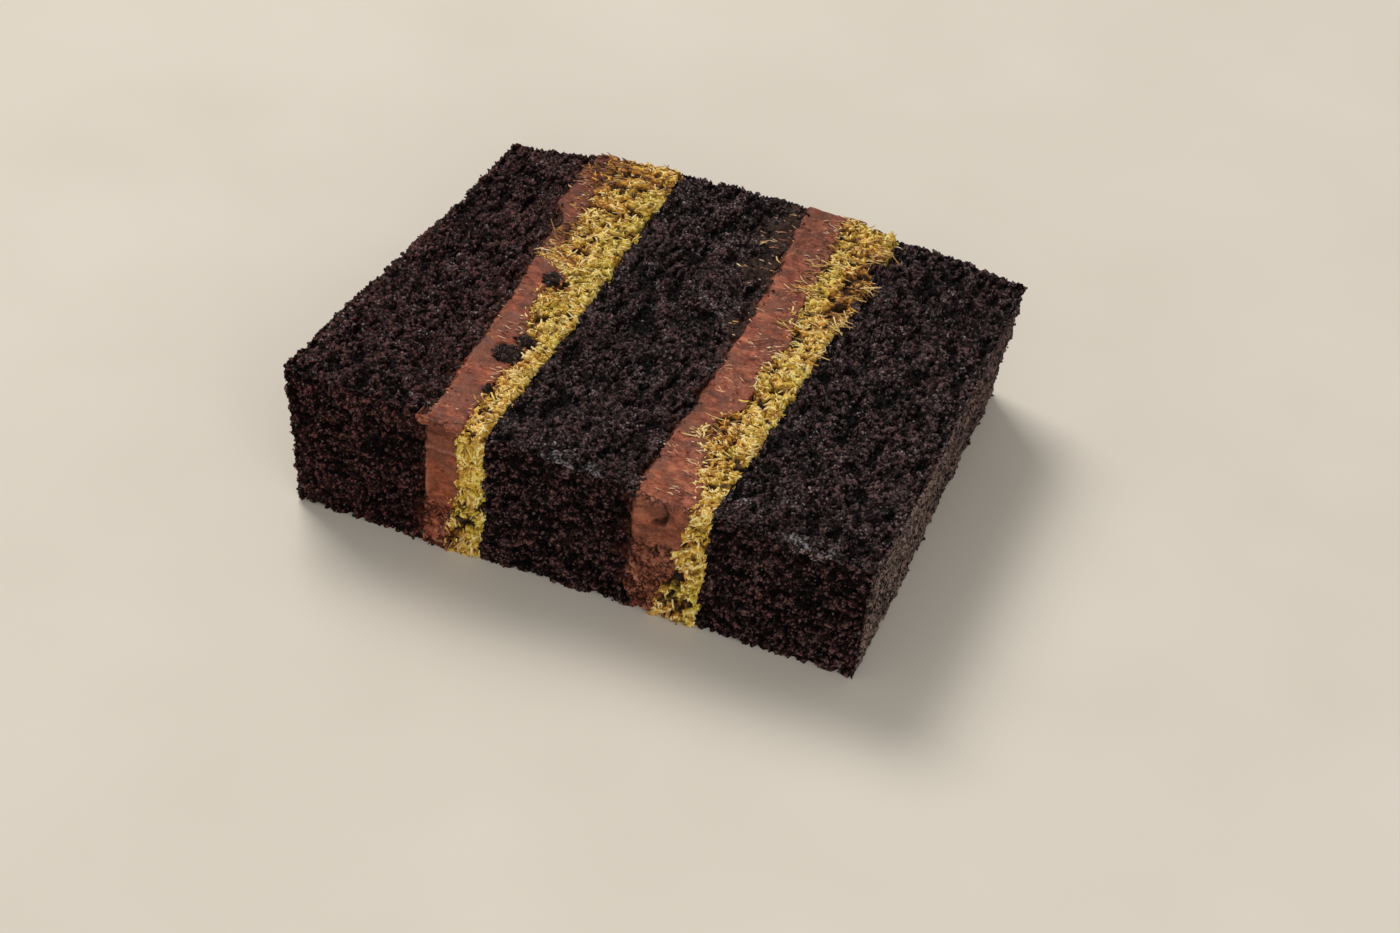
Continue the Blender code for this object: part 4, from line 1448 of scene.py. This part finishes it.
# Pressed crumb: its grey, partly painted sheen, and the painted sheen of its specks
PRESSED_GREY_AND_SHEEN = (0.022, 0.019, 0.019)
PAINTED_SHEEN_COLOUR = (0.26, 0.25, 0.25)
SMEAR_COLOUR = (0.040, 0.024, 0.018)
STAIN_COLOUR = (0.105, 0.032, 0.017)
DULL_GANACHE = (0.160, 0.062, 0.038)
# Pale scraped ganache, and painted highlights
PALE_AND_HIGHLIGHT_GANACHE = (0.50, 0.215, 0.140)
# Painted shade in the ganache's cracks and gaps, and its darker ganache
DARK_AND_SHADE_GANACHE = (0.030, 0.008, 0.004)
# Lighter chips: own tone and painted highlight
CHIP_TONE_AND_HIGHLIGHT = (0.400, 0.130, 0.072)
CHIP_SIZE = 1.1
# Kunafa ramps; on the paste their dark, warm low stops are painted shade in the gaps
GREEN_KUNAFA = (
    (0.10, (0.020, 0.008, 0.001)),
    (0.35, (0.16, 0.090, 0.009)),
    (0.55, (0.47, 0.32, 0.021)),
    (0.80, (0.80, 0.59, 0.080)),
    (1.00, (0.97, 0.81, 0.320)),
)
GOLDEN_KUNAFA = (
    (0.10, (0.024, 0.008, 0.001)),
    (0.35, (0.20, 0.072, 0.009)),
    (0.55, (0.62, 0.265, 0.025)),
    (0.80, (0.90, 0.54, 0.100)),
    (1.00, (0.99, 0.79, 0.370)),
)
FLOOR_COLOUR = (0.71, 0.66, 0.575)
FLOOR_SHADE = (0.67, 0.62, 0.535)

LAYERS = (
    ("cake_layer_1", "cake"),
    ("ganache_1", "ganache"),
    ("kunafa_1", "kunafa"),
    ("cake_layer_2", "cake"),
    ("ganache_2", "ganache"),
    ("kunafa_2", "kunafa"),
    ("cake_layer_3", "cake"),
)
LAYER_SEED = 100
CRUMB_COLOURS = {
    "cake_layer_1": WARM_CRUMB,
    "cake_layer_2": PLAIN_CRUMB,
    "cake_layer_3": PLAIN_CRUMB,
}
CRUMB_COUNTS = {"cake_layer_1": 4000, "cake_layer_2": 2600, "cake_layer_3": 3800}


def make_layer(node, index, kind, materials, seed):
    """The fine mesh that stands for one layer's solid, and its loose crumbs if it is cake."""
    surface = layer_surface(index, kind)
    if kind == "cake":
        depth, values = cake_relief(surface, node != "cake_layer_3", seed)
    elif kind == "ganache":
        depth, values = ganache_relief(surface, index == 1, seed)
    else:
        depth, values = kunafa_relief(surface, seed)
    points = surface.points - surface.normals * depth[:, None]
    body, faces = closed_mesh(points, surface.quads, surface.rings)
    piece = mesh_object(f"{node}_surface", body, faces, materials[node], values=values)
    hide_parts(node)
    if kind == "cake":
        draw = np.random.RandomState(seed + 7)
        bare = 1 - 0.8 * np.maximum.reduce([values["crust"], values["pressed"], values["smear"]])
        centres, sizes = scatter_on(surface, points, CRUMB_COUNTS[node], draw, bare)
        crumbs, crumb_faces, tones = loose_crumbs(centres, sizes, draw)
        name = f"{node}_loose_crumbs"
        loose = materials[f"{node}_loose"]
        mesh_object(name, crumbs, crumb_faces, loose, smooth=False, values=tones)
    return Layer(surface, points, depth, values)


def make_materials():
    found = {}
    for node, colours in CRUMB_COLOURS.items():
        found[node] = crumb_material(f"{node}_crumb", *colours)
        found[f"{node}_loose"] = loose_crumb_material(f"{node}_loose", *colours)
    found["crumbs_in_fillings"] = loose_crumb_material("crumbs_in_fillings", *FILLING_CRUMB)
    for node, colours in GANACHE_COLOURS.items():
        found[node] = ganache_material(f"{node}_chocolate", *colours)
    for node in ("kunafa_1", "kunafa_2"):
        found[node] = paste_material(f"{node}_paste")
    return found


# Crumbs in the fillings: their number, spread and sizes in patches and along the ganache's edge
PATCH_CRUMBS = 800
PATCH_SPREAD = 0.4
PATCH_HEAP = 0.9
PATCH_SINK = (0.5, 1.3)
PATCH_CRUMB_SIZE = (0.4, 1.1)
EDGE_CRUMBS = 200
EDGE_CRUMB_REACH = 0.3
PATCH_SEED = 900


def make_patch_crumbs(layers, material):
    """Cake crumbs in the ganache and the kunafa: in patches, and along each ganache's left edge."""
    draw = np.random.RandomState(PATCH_SEED)
    areas = np.array([zone.reach[0] * zone.reach[1] * zone.strength for zone in CRUMBLED])
    chosen = draw.choice(len(CRUMBLED), PATCH_CRUMBS, p=areas / areas.sum())
    middles = np.array([zone.middle for zone in CRUMBLED])[chosen]
    reaches = np.array([zone.reach for zone in CRUMBLED])[chosen]
    spread = np.clip(draw.normal(0, PATCH_SPREAD, (PATCH_CRUMBS, 3)), -1.0, 1.0)
    heaped = PATCH_HEAP * (1 - np.linalg.norm(spread[:, :2], axis=1))
    spots = middles + reaches * spread
    spots[:, 2] = top_z(spots[:, 0]) - draw.uniform(*PATCH_SINK, PATCH_CRUMBS) + heaped
    centres = [spots]
    sizes = [draw.uniform(*PATCH_CRUMB_SIZE, PATCH_CRUMBS)]
    for node in ("ganache_1", "ganache_2"):
        layer = layers[node]
        near_edge = np.exp(-np.clip(layer.surface.to_left, 0, None) / EDGE_CRUMB_REACH)
        spots, small = scatter_on(layer.surface, layer.points, EDGE_CRUMBS, draw, near_edge)
        centres.append(spots)
        sizes.append(small)
    points, faces, tones = loose_crumbs(np.concatenate(centres), np.concatenate(sizes), draw)
    mesh_object("crumbs_in_fillings", points, faces, material, smooth=False, values=tones)


GANACHE_COLOURS = {
    "ganache_1": ((0.092, 0.016, 0.007), (0.240, 0.051, 0.020), (0.47, 0.138, 0.064)),
    "ganache_2": ((0.095, 0.018, 0.008), (0.262, 0.063, 0.029), (0.52, 0.168, 0.086)),
}
STRAND_COLOURS = {
    "straw": ((0.32, 0.14, 0.025), (0.60, 0.35, 0.09), (0.82, 0.58, 0.22), (0.92, 0.76, 0.40)),
    "toasted": ((0.06, 0.016, 0.004), (0.20, 0.062, 0.012), (0.46, 0.17, 0.028), (0.80, 0.43, 0.11)),
    "coated": ((0.14, 0.040, 0.020), (0.32, 0.12, 0.065), (0.58, 0.30, 0.17), (0.80, 0.56, 0.34)),
}
STRAND_LAYERS = {
    "flake": ("kunafa_1", "kunafa_2"),
    "straw": ("kunafa_1", "kunafa_2", "cake_layer_2"),
    "toasted": ("kunafa_1", "kunafa_2", "ganache_1"),
    "coated": ("ganache_1", "ganache_2", "cake_layer_2"),
}
STRAND_SEED = 300


def make_strands(layers):
    for number, (name, kind) in enumerate(KINDS.items()):
        if name == "flake":
            material = flake_material("flake_strand")
        else:
            material = strand_material(f"{name}_strand", STRAND_COLOURS[name])
        used = [layers[node] for node in STRAND_LAYERS[name]]
        points, faces, values = strand_set(kind, used, STRAND_SEED + number)
        mesh_object(f"kunafa_{name}_strands", points, faces, material, values=values)


# The camera, with its place and aim in metres in the frame
CAMERA_PLACE = Vector((0.1986, -0.4751, 0.4229))
CAMERA_AIM = Vector((0.0154, -0.0221, 0.0170))
CAMERA_ROLL = math.radians(2.6)
CAMERA_LENS = 83.2
CAMERA_NEAR = 0.01


def make_camera():
    camera = bpy.data.objects.new("camera", bpy.data.cameras.new("camera"))
    camera.data.lens = CAMERA_LENS
    camera.data.clip_start = CAMERA_NEAR
    turn = (CAMERA_AIM - CAMERA_PLACE).to_track_quat("-Z", "Y").to_matrix().to_4x4()
    roll = Matrix.Rotation(CAMERA_ROLL, 4, "Z")
    camera.matrix_world = Matrix.Translation(CAMERA_PLACE) @ turn @ roll
    bpy.context.scene.collection.objects.link(camera)
    bpy.context.scene.camera = camera


# The floor and the lights, with their sizes and places in metres
FLOOR_HALF = 3.0
Lamp = namedtuple("Lamp", "place size power colour")
LAMPS = {
    "key": Lamp((-1.1, 0.9, 1.7), 1.0, 34.0, (1.0, 0.97, 0.93)),
    "fill": Lamp((0.5, -0.8, 0.6), 0.8, 3.9, (1.0, 0.98, 0.96)),
}
SKY_COLOUR = (1.0, 0.98, 0.95, 1.0)
SKY_STRENGTH = 0.36


def make_floor():
    mesh = bpy.data.meshes.new("floor")
    signs = ((-1, -1), (1, -1), (1, 1), (-1, 1))
    corners = [(x * FLOOR_HALF, y * FLOOR_HALF, 0) for x, y in signs]
    mesh.from_pydata(corners, [], [(0, 1, 2, 3)])
    mesh.materials.append(floor_material())
    floor = bpy.data.objects.new("floor", mesh)
    bpy.context.scene.collection.objects.link(floor)


def make_lamp(name, lamp):
    """A square light that faces the slice."""
    light = bpy.data.lights.new(name, "AREA")
    light.size = lamp.size
    light.energy = lamp.power
    light.color = lamp.colour
    holder = bpy.data.objects.new(name, light)
    holder.location = lamp.place
    holder.rotation_euler = (-Vector(lamp.place)).to_track_quat("-Z", "Y").to_euler()
    bpy.context.scene.collection.objects.link(holder)


def make_light():
    for name, lamp in LAMPS.items():
        make_lamp(name, lamp)
    world = bpy.data.worlds.new("studio")
    world.use_nodes = True
    background = world.node_tree.nodes["Background"]
    background.inputs["Color"].default_value = SKY_COLOUR
    background.inputs["Strength"].default_value = SKY_STRENGTH
    bpy.context.scene.world = world
    bpy.context.scene.view_settings.view_transform = "Standard"


make_camera()
make_light()
make_floor()
materials = make_materials()
layers = {}
for index, (node, kind) in enumerate(LAYERS):
    layers[node] = make_layer(node, index, kind, materials, LAYER_SEED * (index + 1))
make_patch_crumbs(layers, materials["crumbs_in_fillings"])
make_strands(layers)
